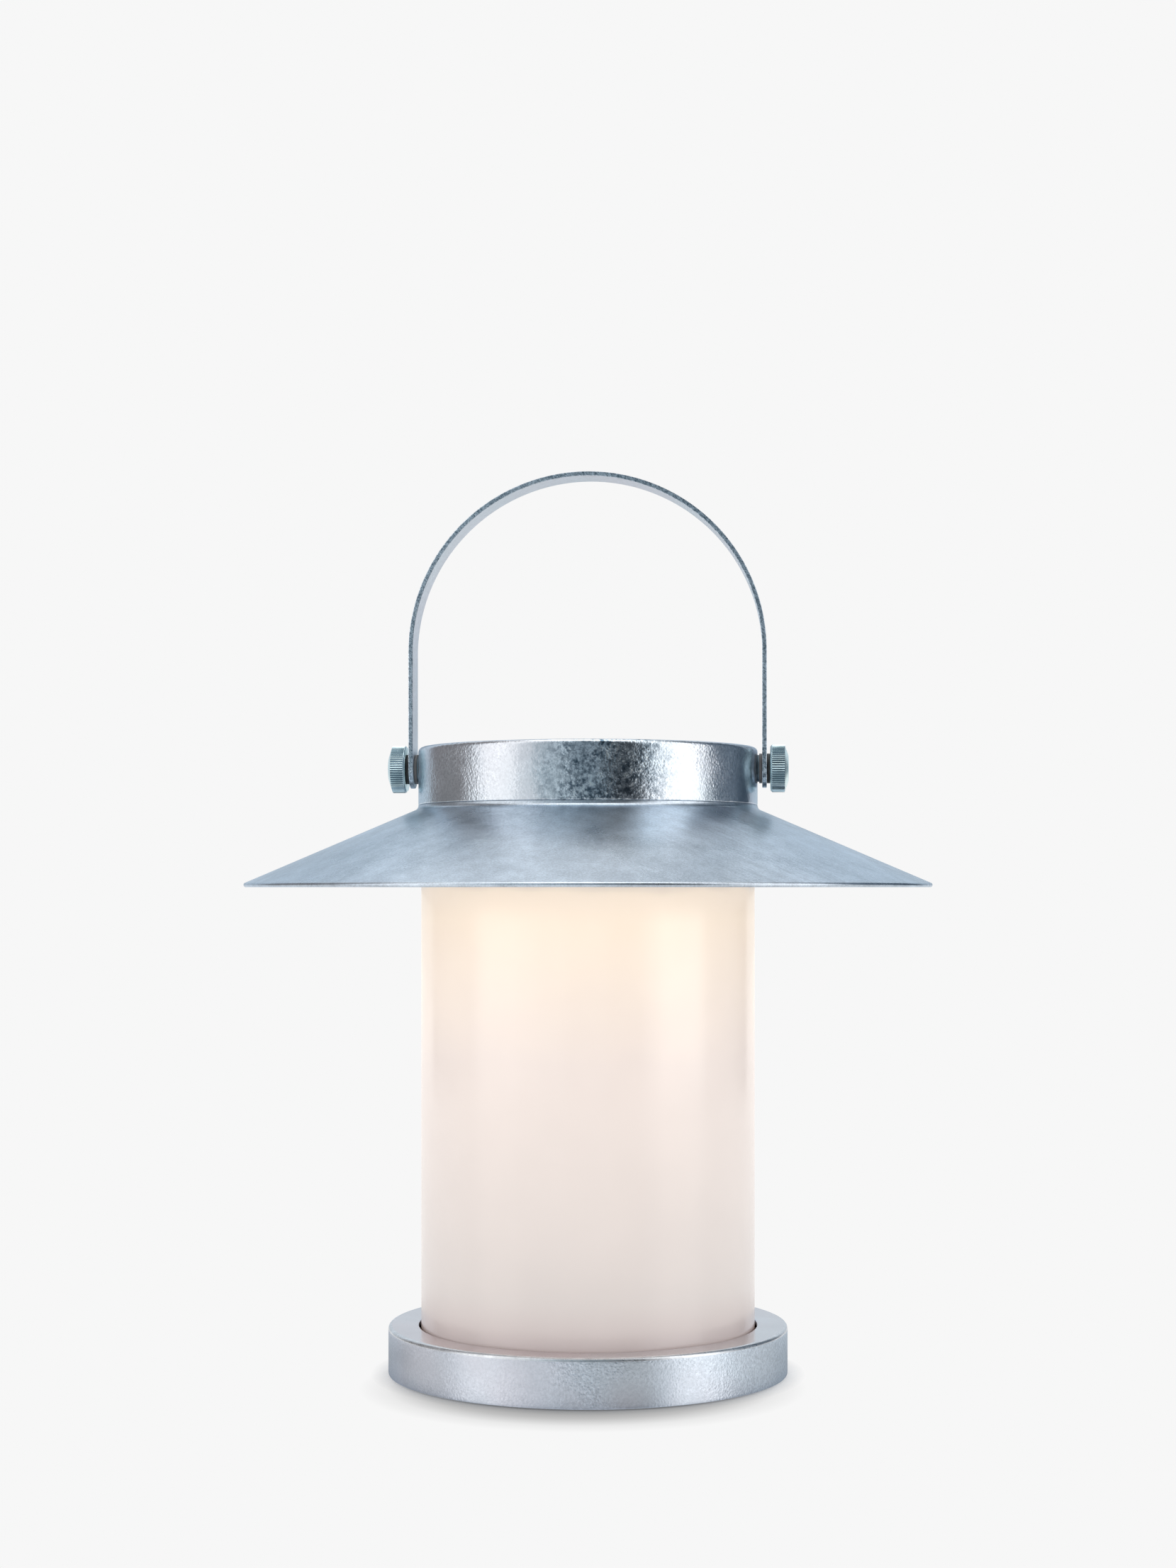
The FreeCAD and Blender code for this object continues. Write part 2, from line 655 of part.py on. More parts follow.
# Cell on its cradle, turned about its own length and laid along X
battery_cell = turned("battery_cell", [
    (zero, zero),
    (cell_r, zero),
    (cell_r, cell_length - cell_button),
    (cell_button_dia / 2, cell_length - cell_button),
    (cell_button_dia / 2, cell_length),
    (zero, cell_length),
])
battery_cell.Placement = Placement(Vector(0, 0, 0), Rotation(Vector(0, 1, 0), 90))
bind(battery_cell, "Placement.Base.x", -cell_length / 2)
bind(battery_cell, "Placement.Base.y", -cell_shift)
bind(battery_cell, "Placement.Base.z", cell_z)
battery_contacts = new_body("battery_contacts")
contact_sketch = new_sketch(battery_contacts, "XY_Plane", floor_top)
for side in (-1, 1):
    contact_x = (cell_length / 2 + cell_play + contact_sheet / 2) * side
    add_rectangle(contact_sketch, contact_x, -cell_shift, contact_sheet, contact_width)
pad(battery_contacts, contact_sketch, contact_height)

# Control board on its posts, with screws and the leads to lamp and panel
control_board = new_body("control_board")
board_sketch = new_sketch(control_board, "XY_Plane", board_low)
add_rectangle(board_sketch, 0, board_shift, board_length, board_width)
for x, y in board_corners:
    add_circle(board_sketch, x, y, small_screw_dia / 2 + screw_pass)
pad(control_board, board_sketch, board_sheet)


def small_screws(label, spots, seat_z, shank, way):
    """Board screws: a shank padded into the post and a head padded on the board."""
    body = new_body(label)
    shanks = new_sketch(body, "XY_Plane", seat_z if way < 0 else seat_z - shank)
    heads = new_sketch(body, "XY_Plane", seat_z - small_head if way < 0 else seat_z)
    for x, y in spots:
        add_circle(shanks, x, y, small_screw_dia / 2)
        add_circle(heads, x, y, small_head_dia / 2)
    pad(body, heads, small_head)
    pad(body, shanks, shank)
    return body


small_screws("board_screws", board_corners, board_top, board_sheet + small_bite, 1)


def leads(label, y, low, high):
    """A pair of straight leads between two boards."""
    body = new_body(label)
    sketch = new_sketch(body, "XY_Plane", low)
    for side in (-1, 1):
        add_circle(sketch, lead_span / 2 * side, y, lead_dia / 2)
    pad(body, sketch, high - low)


panel_lead_y = board_shift - led_lead_shift
leads("led_leads", board_shift + led_lead_shift, floor_under, board_low)
leads("panel_leads", panel_lead_y, board_top, pocket_floor)

# Lid with a square pocket for the solar panel, a button hole and two posts for the switch board
top_lid = disc("top_lid", lid_r, lid_under, lid_top)
boss_sketch = new_sketch(top_lid, "XY_Plane", boss_low)
add_rectangle(boss_sketch, 0, 0, boss_side, boss_side)
pad(top_lid, boss_sketch, lid_under - boss_low)
pocket_sketch = new_sketch(top_lid, "XY_Plane", lid_top)
add_rectangle(pocket_sketch, 0, 0, panel_side + panel_play * 2, panel_side + panel_play * 2)
pocket(top_lid, pocket_sketch, panel_sink)
lid_leads = new_sketch(top_lid, "XY_Plane", pocket_floor)
for side in (-1, 1):
    add_circle(lid_leads, lead_span / 2 * side, panel_lead_y, lead_dia / 2 + lead_pass)
pocket(top_lid, lid_leads, lid_sheet)
button_hole = new_sketch(top_lid, "XY_Plane", lid_top)
add_circle(button_hole, 0, button_shift, button_dia / 2 + button_play)
pocket(top_lid, button_hole, lid_sheet)
hang_spots = [((switch_board_length / 2 - post_inset) * side, button_shift) for side in (-1, 1)]
hang_posts = new_sketch(top_lid, "XY_Plane", hang_low)
for x, y in hang_spots:
    add_circle(hang_posts, x, y, post_dia / 2)
pad(top_lid, hang_posts, hang_height)
hang_bores = new_sketch(top_lid, "XY_Plane", hang_low)
for x, y in hang_spots:
    add_circle(hang_bores, x, y, small_screw_dia / 2 + screw_play)
pocket(top_lid, hang_bores, small_bite + bore_room, upward=True)
ring("lid_seal", collar_r - collar_lip, collar_r - collar_edge - lid_play, lid_top, lip_under)

# Solar panel in its pocket, with four cells on it
solar_panel = new_body("solar_panel")
panel_sketch = new_sketch(solar_panel, "XY_Plane", pocket_floor)
add_rectangle(panel_sketch, 0, 0, panel_side, panel_side)
pad(solar_panel, panel_sketch, panel_sheet)
solar_cells = new_body("solar_cells")
cells_sketch = new_sketch(solar_cells, "XY_Plane", panel_top)
solar_side = (panel_side - cell_margin * 2 - cell_split) / 2
for column in (-1, 1):
    for row in (-1, 1):
        cell_x = (solar_side + cell_split) / 2 * column
        cell_y = (solar_side + cell_split) / 2 * row
        add_rectangle(cells_sketch, cell_x, cell_y, solar_side, solar_side)
pad(solar_cells, cells_sketch, cell_film)

# Push button, its switch and the board that carries it under the lid
button_top = lid_top + button_rise
stop_top = lid_under - button_slack
stop_low = stop_top - button_flange_height
stem_low = switch_top + button_travel + button_rest
power_button = turned("power_button", [
    (zero, stem_low),
    (button_stem / 2, stem_low),
    (button_stem / 2, stop_low),
    (button_dia / 2 + button_flange, stop_low),
    (button_dia / 2 + button_flange, stop_top),
    (button_dia / 2, stop_top),
    (button_dia / 2, button_top),
    (zero, button_top),
])
bind(power_button, "Placement.Base.y", button_shift)
switch_board = new_body("switch_board")
switch_sketch = new_sketch(switch_board, "XY_Plane", hang_low - board_sheet)
add_rectangle(switch_sketch, 0, button_shift, switch_board_length, switch_board_width)
for x, y in hang_spots:
    add_circle(switch_sketch, x, y, small_screw_dia / 2 + screw_pass)
pad(switch_board, switch_sketch, board_sheet)
tact_switch = new_body("tact_switch")
switch_box = new_sketch(tact_switch, "XY_Plane", hang_low)
add_rectangle(switch_box, 0, button_shift, switch_side, switch_side)
pad(tact_switch, switch_box, switch_height - switch_cap)
plunger = new_sketch(tact_switch, "XY_Plane", hang_low + switch_height - switch_cap)
add_circle(plunger, 0, button_shift, button_stem / 2)
pad(tact_switch, plunger, switch_cap)
small_screws("switch_screws", hang_spots, hang_low - board_sheet, board_sheet + small_bite, -1)

# Handle: a strap bent to a half circle, with straight legs and round, bored ends
bail_handle = new_body("bail_handle")
bail = new_sketch(bail_handle, "XZ_Plane")
end_z = pivot_z - strap_width / 2
arch_center = Vector(0, arch_z.number, 0)
for radius in (strap_outer, strap_inner):
    arc = Part.Circle(arch_center, Vector(0, 0, 1), radius.number)
    bail.addGeometry(Part.ArcOfCircle(arc, 0, math.pi))
for side, outside, inside in ((-1, 2, 2), (1, 1, 1)):
    spots = [
        Vector(strap_outer.number * side, arch_z.number, 0),
        Vector(strap_outer.number * side, end_z.number, 0),
        Vector(strap_inner.number * side, end_z.number, 0),
        Vector(strap_inner.number * side, arch_z.number, 0),
    ]
    first = bail.GeometryCount
    for start, stop in zip(spots, spots[1:]):
        bail.addGeometry(Part.LineSegment(start, stop))
    bail.addConstraint(Sketcher.Constraint("Coincident", 0, outside, first, 1))
    bail.addConstraint(Sketcher.Constraint("Coincident", first, 2, first + 1, 1))
    bail.addConstraint(Sketcher.Constraint("Coincident", first + 1, 2, first + 2, 1))
    bail.addConstraint(Sketcher.Constraint("Coincident", first + 2, 2, 1, inside))
    hold(bail, first, 1, strap_outer * side, arch_z)
    hold(bail, first, 2, strap_outer * side, end_z)
    hold(bail, first + 1, 2, strap_inner * side, end_z)
    hold(bail, first + 2, 2, strap_inner * side, arch_z)
for index in (0, 1):
    hold(bail, index, 3, None, arch_z)
strap = bail_handle.newObject("PartDesign::Pad", "bail_handle_pad")
strap.Profile = bail
strap.SideType = "Symmetric"
bind(strap, "Length", strap_width)
finish(bail_handle, strap)
end_edges = []
for index, edge in enumerate(bail_handle.Shape.Edges):
    middle = edge.CenterOfMass
    across = abs(edge.BoundBox.XLength - strap_sheet.number) < 1e-4
    if across and abs(middle.z - end_z.number) < 1e-4 and edge.BoundBox.YLength < 1e-4:
        end_edges.append(f"Edge{index + 1}")
ends = bail_handle.newObject("PartDesign::Fillet", "bail_handle_ends")
ends.Base = (strap, end_edges)
bind(ends, "Radius", strap_width / 2 - end_flat)
finish(bail_handle, ends)
strap_holes = new_sketch(bail_handle, "YZ_Plane")
add_circle(strap_holes, 0, pivot_z, pivot_r + pivot_play)
pocket(bail_handle, strap_holes, (strap_outer + cross_over) * 2, both_ways=True)


def at_pivot(body, side, x):
    """Lay a piece that was turned about Z along the pivot, pointing outward, with its foot at x."""
    body.Placement = Placement(Vector(0, 0, 0), Rotation(Vector(0, 1, 0), 90 * side))
    bind(body, "Placement.Base.x", x * side)
    bind(body, "Placement.Base.z", pivot_z)


def thumb_screw(label):
    """Shank and knurled head; the head's inner face lies at zero and its coned end points along +Z."""
    crown_low = knob_height - knob_crown
    body = turned(label, [
        (zero, -shank_length),
        (pivot_r - knob_break, -shank_length),
        (pivot_r, -shank_length + knob_break),
        (pivot_r, zero),
        (knob_r - knob_break, zero),
        (knob_r, knob_break),
        (knob_r, crown_low),
        (knob_face_dia / 2, knob_height),
        (zero, knob_height),
    ])
    round_rims(body, [(knob_face_dia / 2, knob_height)], knob_round)
    rim_half = knob_r * math.tan(math.pi / knurl_count.number) * groove_share
    mouth_half = rim_half * (knurl_depth + knurl_over) / knurl_depth
    sketch = new_sketch(body, "XY_Plane")
    add_outline(sketch, [
        (knob_r - knurl_depth, zero),
        (knob_r + knurl_over, mouth_half),
        (knob_r + knurl_over, -mouth_half),
    ])
    groove = pocket(body, sketch, knob_height, upward=True)
    around(body, [groove], knurl_count)
    return body


# Pivots: rivet nut in the collar, dark washers on both sides of the strap, and the thumb screw
bulge_top = -(collar_sheet + nut_grip)
bulge_low = bulge_top - nut_bulge
for name, side in (("left", -1), ("right", 1)):
    rivet_nut = turned(f"rivet_nut_{name}", [
        (pivot_r + screw_play, -nut_length),
        (nut_dia / 2, -nut_length),
        (nut_dia / 2, bulge_low),
        (nut_bulge_dia / 2, bulge_low),
        (nut_bulge_dia / 2, bulge_top),
        (nut_dia / 2, bulge_top),
        (nut_dia / 2, zero),
        (nut_flange_dia / 2, zero),
        (nut_flange_dia / 2, nut_flange),
        (pivot_r + screw_play, nut_flange),
    ])
    at_pivot(rivet_nut, side, collar_r)
    spacer_bore = pivot_r + pivot_play
    inner_spacer = ring(f"inner_spacer_{name}", spacer_bore, spacer_dia / 2, zero, spacer_height)
    at_pivot(inner_spacer, side, collar_r + nut_flange)
    outer_washer = ring(f"outer_washer_{name}", spacer_bore, spacer_dia / 2, zero, washer_height)
    at_pivot(outer_washer, side, washer_x)
    at_pivot(thumb_screw(f"thumb_screw_{name}"), side, knob_x)

doc.recompute()
bodies = [thing for thing in doc.Objects if thing.isDerivedFrom("PartDesign::Body")]
for thing in doc.Objects:
    if "Invalid" in thing.State or "Error" in thing.State:
        raise RuntimeError(f"{thing.Label} failed: {thing.State}")
for body in bodies:
    if body.Shape.isNull() or not body.Shape.isValid() or not body.Shape.Solids:
        raise RuntimeError(f"{body.Label} has no valid solid")

os.makedirs("parts", exist_ok=True)
for body in bodies:
    body.Shape.exportStep(f"parts/{body.Label}.step")
    print(body.Label, len(body.Shape.Solids), round(body.Shape.Volume, 1))
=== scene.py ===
import math

import bmesh
import bpy
from bpy.props import FloatProperty, FloatVectorProperty, IntProperty, PointerProperty
from mathutils import Matrix, Vector


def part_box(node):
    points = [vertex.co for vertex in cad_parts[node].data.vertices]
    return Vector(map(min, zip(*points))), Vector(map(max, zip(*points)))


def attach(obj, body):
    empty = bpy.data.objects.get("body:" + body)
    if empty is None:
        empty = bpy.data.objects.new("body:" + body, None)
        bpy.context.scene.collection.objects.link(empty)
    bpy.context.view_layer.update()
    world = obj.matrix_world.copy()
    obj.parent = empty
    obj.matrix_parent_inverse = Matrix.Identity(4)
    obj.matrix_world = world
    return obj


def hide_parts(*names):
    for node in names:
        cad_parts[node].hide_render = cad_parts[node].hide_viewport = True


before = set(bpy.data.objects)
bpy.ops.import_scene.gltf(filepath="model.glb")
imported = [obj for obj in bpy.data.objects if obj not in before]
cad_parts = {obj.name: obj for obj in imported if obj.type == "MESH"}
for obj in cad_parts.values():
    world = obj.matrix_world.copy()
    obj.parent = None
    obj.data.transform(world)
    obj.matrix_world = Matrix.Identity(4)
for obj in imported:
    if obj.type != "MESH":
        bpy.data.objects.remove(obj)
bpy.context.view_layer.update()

bl_info = {
    "name": "Metal Table Lantern",
    "version": (1, 0, 0),
    "blender": (4, 5, 0),
    "location": "View3D > Sidebar > Lantern",
    "description": "Builds the visible pieces, finishes and stage of a metal table lantern around its solids",
    "category": "Add Mesh",
}

SPIN_STEPS = 288
SMALL_STEPS = 72
NEAR = 2e-5
MERGE = NEAR / 10
SIDES = (("left", -1), ("right", 1))
BRIM_STROKES = (0.0, 0.0, math.radians(30))
TURNED_SCRATCHES = (0.0, 0.0, math.radians(29))
SHEAR_LINES = (0.0, math.radians(40), 0.0)
NOISE_LOW, NOISE_HIGH = 0.3, 0.7  # most of a noise lies between these values
HOLD = 0.0008  # a loop this far from a rounded edge keeps the face beside it flat
SOFT_EDGE = 0.0004
FINE_EDGE = 0.0003
FILLET = 0.0002

base_low, base_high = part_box("base_ring")
opal_low, opal_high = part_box("opal_cylinder")
brim_low, brim_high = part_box("hat_brim")
collar_low, collar_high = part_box("collar")
strap_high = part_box("bail_handle")[1]
screw_low, screw_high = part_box("thumb_screw_right")
spacer_low, spacer_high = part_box("inner_spacer_right")
washer_low, washer_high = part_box("outer_washer_right")
button_low, button_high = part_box("power_button")
feet_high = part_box("rubber_feet")[1]
plate_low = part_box("base_plate")[0]


def length(name, description, default):
    return FloatProperty(name=name, description=description, default=default, min=0.0,
                         unit="LENGTH", precision=5)


def amount(name, description, default):
    return FloatProperty(name=name, description=description, default=default, min=0.0)


def bearing(name, description, degrees):
    return FloatProperty(name=name, description=description, default=math.radians(degrees), subtype="ANGLE")


def colour(name, description, default):
    return FloatVectorProperty(name=name, description=description, default=default, size=3,
                               min=0.0, max=1.0, subtype="COLOR")


class LanternSizes(bpy.types.PropertyGroup):
    """Sizes of the visible pieces, in metres."""

    base_radius: length("Base radius", "Outer radius of the pressed base", base_high.x)
    base_hole: length("Base hole", "Radius of the hole that the opal cylinder stands in", 0.05675)
    base_sheet: length("Base sheet", "Sheet of the pressed base", 0.0012)
    base_edge: length("Base edge", "Radius of the base's upper edge", 0.0012)
    opal_radius: length("Opal radius", "Outer radius of the opal cylinder", opal_high.x)
    opal_wall: length("Opal wall", "Wall of the opal cylinder", 0.003)
    brim_radius: length("Brim radius", "Outer radius of the brim", brim_high.x)
    brim_bore: length("Brim bore", "Radius of the hole in the brim's seat", 0.0439)
    brim_sheet: length("Brim sheet", "Upright thickness of the brim's sheet", 0.001)
    hem: length("Hem", "Diameter of the brim's rolled edge", 0.0016)
    neck_rise: length("Neck rise", "How far the brim turns up under the collar", 0.0006)
    neck_drop: length("Neck drop", "How far the cone meets the neck below the seat", 0.0006)
    neck_hollow: length("Neck hollow", "Radius of the hollow between brim and neck", 0.0016)
    collar_radius: length("Collar radius", "Outer radius of the collar", collar_high.x)
    collar_sheet: length("Collar sheet", "Sheet of the collar", 0.0009)
    collar_lip: length("Collar lip", "Width of the collar's turned-in lip", 0.0045)
    collar_edge: length("Collar edge", "Radius at the collar's top", 0.0016)
    collar_foot: length("Collar foot", "Radius at the collar's lower edge", 0.0004)
    nut_hole: length("Nut hole", "Radius of the collar's holes for the rivet nuts", 0.00305)
    strap_sheet: length("Strap sheet", "Thickness of the handle's strap", 0.0015)
    strap_break: length("Strap break", "Rounding of the strap's sheared edges", 0.00022)
    strap_hole: length("Strap hole", "Radius of the holes in the strap", 0.0021)
    knob_height: length("Knob height", "Height of a thumb screw's head", 0.00615)
    knob_crown: length("Knob crown", "Height of the head's coned outer end", 0.00135)
    knob_face: length("Knob face", "Radius at which cone and outer face would meet", 0.0042)
    knob_round: length("Knob round", "Radius between cone and outer face", 0.003)
    knob_break: length("Knob break", "Broken, plain inner edge of the head", 0.0006)
    knob_step: length("Knob step", "Smallest step and rounding of the head", 0.0001)
    shank_radius: length("Shank radius", "Radius of a thumb screw's shank", 0.002)
    knurl_depth: length("Knurl depth", "Depth of a knurl groove", 0.0004)
    knurl_count: IntProperty(name="Knurl count", description="Number of knurl grooves", default=64, min=8)


class LanternColours(bpy.types.PropertyGroup):
    """Colours of the finishes."""

    brim_zinc: colour("Brim zinc", "Brushed zinc of the brim", (0.60, 0.665, 0.735))
    collar_zinc: colour("Collar zinc", "Bright hammered zinc of the collar", (0.70, 0.745, 0.785))
    # painted dark reflection, mottled, on the collar's front
    collar_front_reflection: colour("Collar front reflection", "Shade of the dents on the collar's front", (0.16, 0.22, 0.27))
    base_zinc: colour("Base zinc", "Satin hammered zinc of the base", (0.67, 0.71, 0.77))
    # partly rubbed wear, partly a painted highlight: the upper edge is lighter zinc than the wall
    rim_zinc_and_highlight: colour("Rim zinc and highlight", "Rubbed zinc on the base's upper edge", (0.86, 0.88, 0.91))
    # smoother zinc; its lighter, warmer tone than the wall is a painted reflection of the glowing tube
    top_zinc_and_reflection: colour("Top zinc and reflection", "Smooth zinc on the base's top", (0.76, 0.75, 0.77))
    top_tint: colour("Top tint", "Tint of the base's top seen at a flat angle", (1.0, 0.98, 0.97))
    strap_zinc: colour("Strap zinc", "Matte zinc on the strap's faces", (0.74, 0.80, 0.86))
    edge_dark: colour("Edge dark", "Dark specks on sheared edges", (0.13, 0.19, 0.24))
    edge_zinc: colour("Edge zinc", "Zinc on sheared edges", (0.77, 0.86, 0.94))
    edge_tint: colour("Edge tint", "Tint of zinc seen at a flat angle", (0.82, 0.89, 0.95))
    zinc_warm: colour("Zinc warm", "Warm cast in the zinc's wide clouds", (1.0, 0.965, 0.975))
    zinc_cool: colour("Zinc cool", "Cool cast in the zinc's wide clouds", (0.945, 0.985, 1.0))
    knob_zinc: colour("Knob zinc", "Plated steel of the thumb screws", (0.66, 0.85, 0.97))
    plain_steel: colour("Plain steel", "Plated steel of plate and screws", (0.55, 0.56, 0.58))
    opal: colour("Opal", "Opal acrylic without its light", (0.717, 0.688, 0.67))
    glow_high: colour("Upper glow", "Light in the cylinder's upper end", (0.55, 0.408, 0.26))
    glow_middle: colour("Middle glow", "Light half-way up the cylinder", (0.28, 0.193, 0.147))
    glow_low: colour("Lower glow", "Light in the cylinder's lower end", (0.08, 0.045, 0.032))
    washer: colour("Washer", "Dark nylon of the outer washers", (0.045, 0.042, 0.042))
    spacer: colour("Spacer", "Grey nylon of the inner spacers", (0.21, 0.195, 0.19))
    rubber: colour("Rubber", "Black rubber of feet and button", (0.028, 0.028, 0.03))
    lid: colour("Lid", "Black moulded plastic of the lid", (0.03, 0.03, 0.033))
    silicon: colour("Silicon", "Blue silicon of the solar cells", (0.008, 0.016, 0.06))
    contact: colour("Contact lines", "Silver lines on the solar cells", (0.55, 0.57, 0.60))


class LanternStage(bpy.types.PropertyGroup):
    """Camera, light and floor."""

    eye_distance: length("Camera distance", "Camera from the lantern's axis", 0.86965)
    eye_height: length("Camera height", "Camera above the floor", 0.163)
    eye_azimuth: bearing("Camera azimuth", "Camera to the right of straight ahead", 4.045)
    lens: amount("Lens", "Focal length in millimetres", 59.29)
    rise: amount("Rise", "Upward shift of the lens", 0.0658)
    paper: amount("Paper", "Brightness of floor and background", 0.93)
    sky: amount("Sky", "Soft light from all round", 0.55)
    wall: amount("Wall", "Brightness of the room that metal mirrors", 1.0)
    shadow_shift: length("Shadow shift", "How far the floor's shadow lies toward the camera", 0.025)
    shadow_turn: bearing("Shadow turn", "The shadow's direction to the right of the camera", -4.0)
    floor_radius: length("Floor radius", "Radius of the round floor", 12.0)
    floor_mirror: amount("Floor mirror", "Share of the floor in what metal mirrors", 0.58)
    softbox_distance: length("Softbox distance", "Softboxes from the lantern's axis", 1.40)
    softbox_width: length("Softbox width", "Width of a softbox", 1.0)
    softbox_height: length("Softbox height", "Height of a softbox", 1.2)
    softbox_lift: length("Softbox lift", "Middle of a softbox above the floor", 0.75)
    softbox_level: amount("Softbox level", "Brightness of a softbox", 1.89)
    card_distance: length("Card distance", "Reflector cards from the lantern's axis", 1.25)
    card_depth: length("Card depth", "Lower end of the cards under the floor", 1.0)
    card_high: length("Card top", "Upper end of the cards", 2.6)
    ceiling_height: length("Ceiling height", "Height of the bright card overhead", 1.7)
    ceiling_size: length("Ceiling size", "Side of the bright card overhead", 1.0)
    ceiling_level: amount("Ceiling level", "Brightness of the card overhead", 2.4)


def sizes():
    return bpy.context.scene.lantern_sizes


def colours():
    return bpy.context.scene.lantern_colours


def opaque(value):
    """A colour with full alpha, made of a colour or a grey number; a socket passes through."""
    if isinstance(value, bpy.types.NodeSocket):
        return value
    if isinstance(value, float):
        value = (value, value, value)
    return (*value[:3], 1.0)


def shade(value, factor):
    return tuple(min(1.0, part * factor) for part in value)


class Nodes:
    """A tree of shader nodes that are added call by call."""

    def __init__(self, tree):
        self.tree = tree

    def node(self, kind, inputs=None, **settings):
        made = self.tree.nodes.new(kind)
        for key, value in settings.items():
            setattr(made, key, value)
        for key, value in (inputs or {}).items():
            self.feed(made.inputs[key], value)
        return made

    def feed(self, socket, value):
        if isinstance(value, bpy.types.NodeSocket):
            self.tree.links.new(value, socket)
        else:
            socket.default_value = value

    def ramp(self, value, stops):
        """Colours at places along a value, blended in between."""
        made = self.node("ShaderNodeValToRGB", {"Fac": value})
        points = made.color_ramp.elements
        while len(points) < len(stops):
            points.new(0.5)
        for point, (position, tone) in zip(points, stops):
            point.position = position
            point.color = opaque(tone)
        return made.outputs["Color"]

    def choose(self, factor, first, second):
        """The first shader at 0 and the second at 1."""
        return self.node("ShaderNodeMixShader", {0: factor, 1: first, 2: second}).outputs[0]

    def glow(self, tone, strength):
        return self.node("ShaderNodeEmission", {"Color": opaque(tone), "Strength": strength}).outputs[0]


class Finish(Nodes):
    """A procedural material on Object coordinates."""

    def __init__(self, name):
        self.material = bpy.data.materials.new(name)
        self.material.use_nodes = True
        super().__init__(self.material.node_tree)
        self.shader = self.tree.nodes["Principled BSDF"]
        self.place = self.node("ShaderNodeTexCoord").outputs["Object"]

    def set(self, **values):
        for key, value in values.items():
            self.feed(self.shader.inputs[key.replace("_", " ")], value)

    def show(self, surface):
        """Put a shader in the place of the Principled one."""
        self.feed(self.tree.nodes["Material Output"].inputs["Surface"], surface)

    def vectors(self, operation, second, first=None):
        return self.node("ShaderNodeVectorMath", {0: first or self.place, 1: second}, operation=operation)

    def distance(self, spot, first=None):
        """Distance of the shaded point, or of another, from a spot."""
        return self.vectors("DISTANCE", spot, first).outputs["Value"]

    def axis(self, name):
        return self.node("ShaderNodeSeparateXYZ", {0: self.place}).outputs[name]

    def stretched(self, scale, turn):
        """Object coordinates turned about each axis, then scaled along it."""
        turned = self.node("ShaderNodeMapping", {"Vector": self.place, "Rotation": turn})
        return self.node("ShaderNodeMapping", {"Vector": turned.outputs[0], "Scale": scale}).outputs[0]

    def noise(self, scale, detail=3.0, rough=0.55, vector=None, warp=0.0):
        inputs = {"Vector": vector or self.place, "Scale": scale, "Detail": detail,
                  "Roughness": rough, "Distortion": warp}
        return self.node("ShaderNodeTexNoise", inputs).outputs["Fac"]

    def cells(self, scale):
        inputs = {"Vector": self.place, "Scale": scale, "Smoothness": 0.6}
        return self.node("ShaderNodeTexVoronoi", inputs, feature="SMOOTH_F1").outputs["Distance"]

    def span(self, value, low, high, to_low=0.0, to_high=1.0):
        inputs = {"Value": value, "From Min": low, "From Max": high, "To Min": to_low, "To Max": to_high}
        return self.node("ShaderNodeMapRange", inputs).outputs[0]

    def spread(self, noise, to_low=0.0, to_high=1.0):
        """A noise drawn out between two values."""
        return self.span(noise, NOISE_LOW, NOISE_HIGH, to_low, to_high)

    def maths(self, operation, first, second=0.0):
        return self.node("ShaderNodeMath", {0: first, 1: second}, operation=operation).outputs[0]

    def plus(self, first, second):
        return self.maths("ADD", first, second)

    def times(self, first, second):
        return self.maths("MULTIPLY", first, second)

    def mix(self, factor, low, high, blend="MIX"):
        inputs = {0: factor, 6: opaque(low), 7: opaque(high)}
        return self.node("ShaderNodeMix", inputs, data_type="RGBA", blend_type=blend).outputs[2]

    def clouded(self, factor, tone, low, high):
        """A tone between a darker and a lighter share of itself."""
        return self.mix(factor, shade(tone, low), shade(tone, high))

    def tinted(self, tone, tint):
        return self.mix(1.0, tone, tint, "MULTIPLY")

    def grey(self, value):
        """One number as a grey colour."""
        return self.node("ShaderNodeCombineColor", {0: value, 1: value, 2: value}).outputs[0]

    def bump(self, height, depth, strength=1.0, under=None):
        inputs = {"Height": height, "Distance": depth, "Strength": strength}
        if under is not None:
            inputs["Normal"] = under
        return self.node("ShaderNodeBump", inputs).outputs[0]


def brushed_zinc(name, zinc):
    """Matte zinc sheet, clouded all over and wiped in long strokes on its right half."""
    wiped_from, wiped_fully = -0.04, 0.05
    finish = Finish(name)
    clouds = finish.noise(26.0, detail=4.0, rough=0.6, warp=0.5)
    grain = finish.noise(1600.0, detail=2.0)
    along = finish.stretched((24.0, 560.0, 0.0), BRIM_STROKES)
    strokes = finish.noise(1.0, detail=4.0, rough=0.65, vector=along)
    right = finish.span(finish.axis("X"), wiped_from, wiped_fully)
    where = finish.times(finish.span(finish.noise(15.0, detail=2.0), 0.38, 0.60), right)
    wiped = finish.times(finish.spread(strokes, -0.22, 0.10), where)
    blots = finish.spread(finish.noise(170.0, detail=4.0, rough=0.65), -0.11, 0.11)
    specks = finish.plus(blots, finish.spread(grain, -0.13, 0.13))
    marks = finish.plus(finish.plus(wiped, specks), 1.0)
    tone = finish.clouded(finish.span(clouds, 0.34, 0.66), zinc, 0.82, 1.10)
    wide = finish.span(finish.noise(9.0, detail=2.0), 0.35, 0.65, -0.03, 0.06)
    rub = finish.bump(finish.times(strokes, where), depth=0.000012, strength=0.4)
    finish.set(Base_Color=finish.tinted(tone, finish.grey(marks)), Metallic=1.0,
               Roughness=finish.plus(finish.spread(clouds, 0.24, 0.32), wide),
               Specular_Tint=opaque(colours().edge_tint),
               Normal=finish.bump(grain, depth=0.000009, strength=0.6, under=rub))
    return finish.material


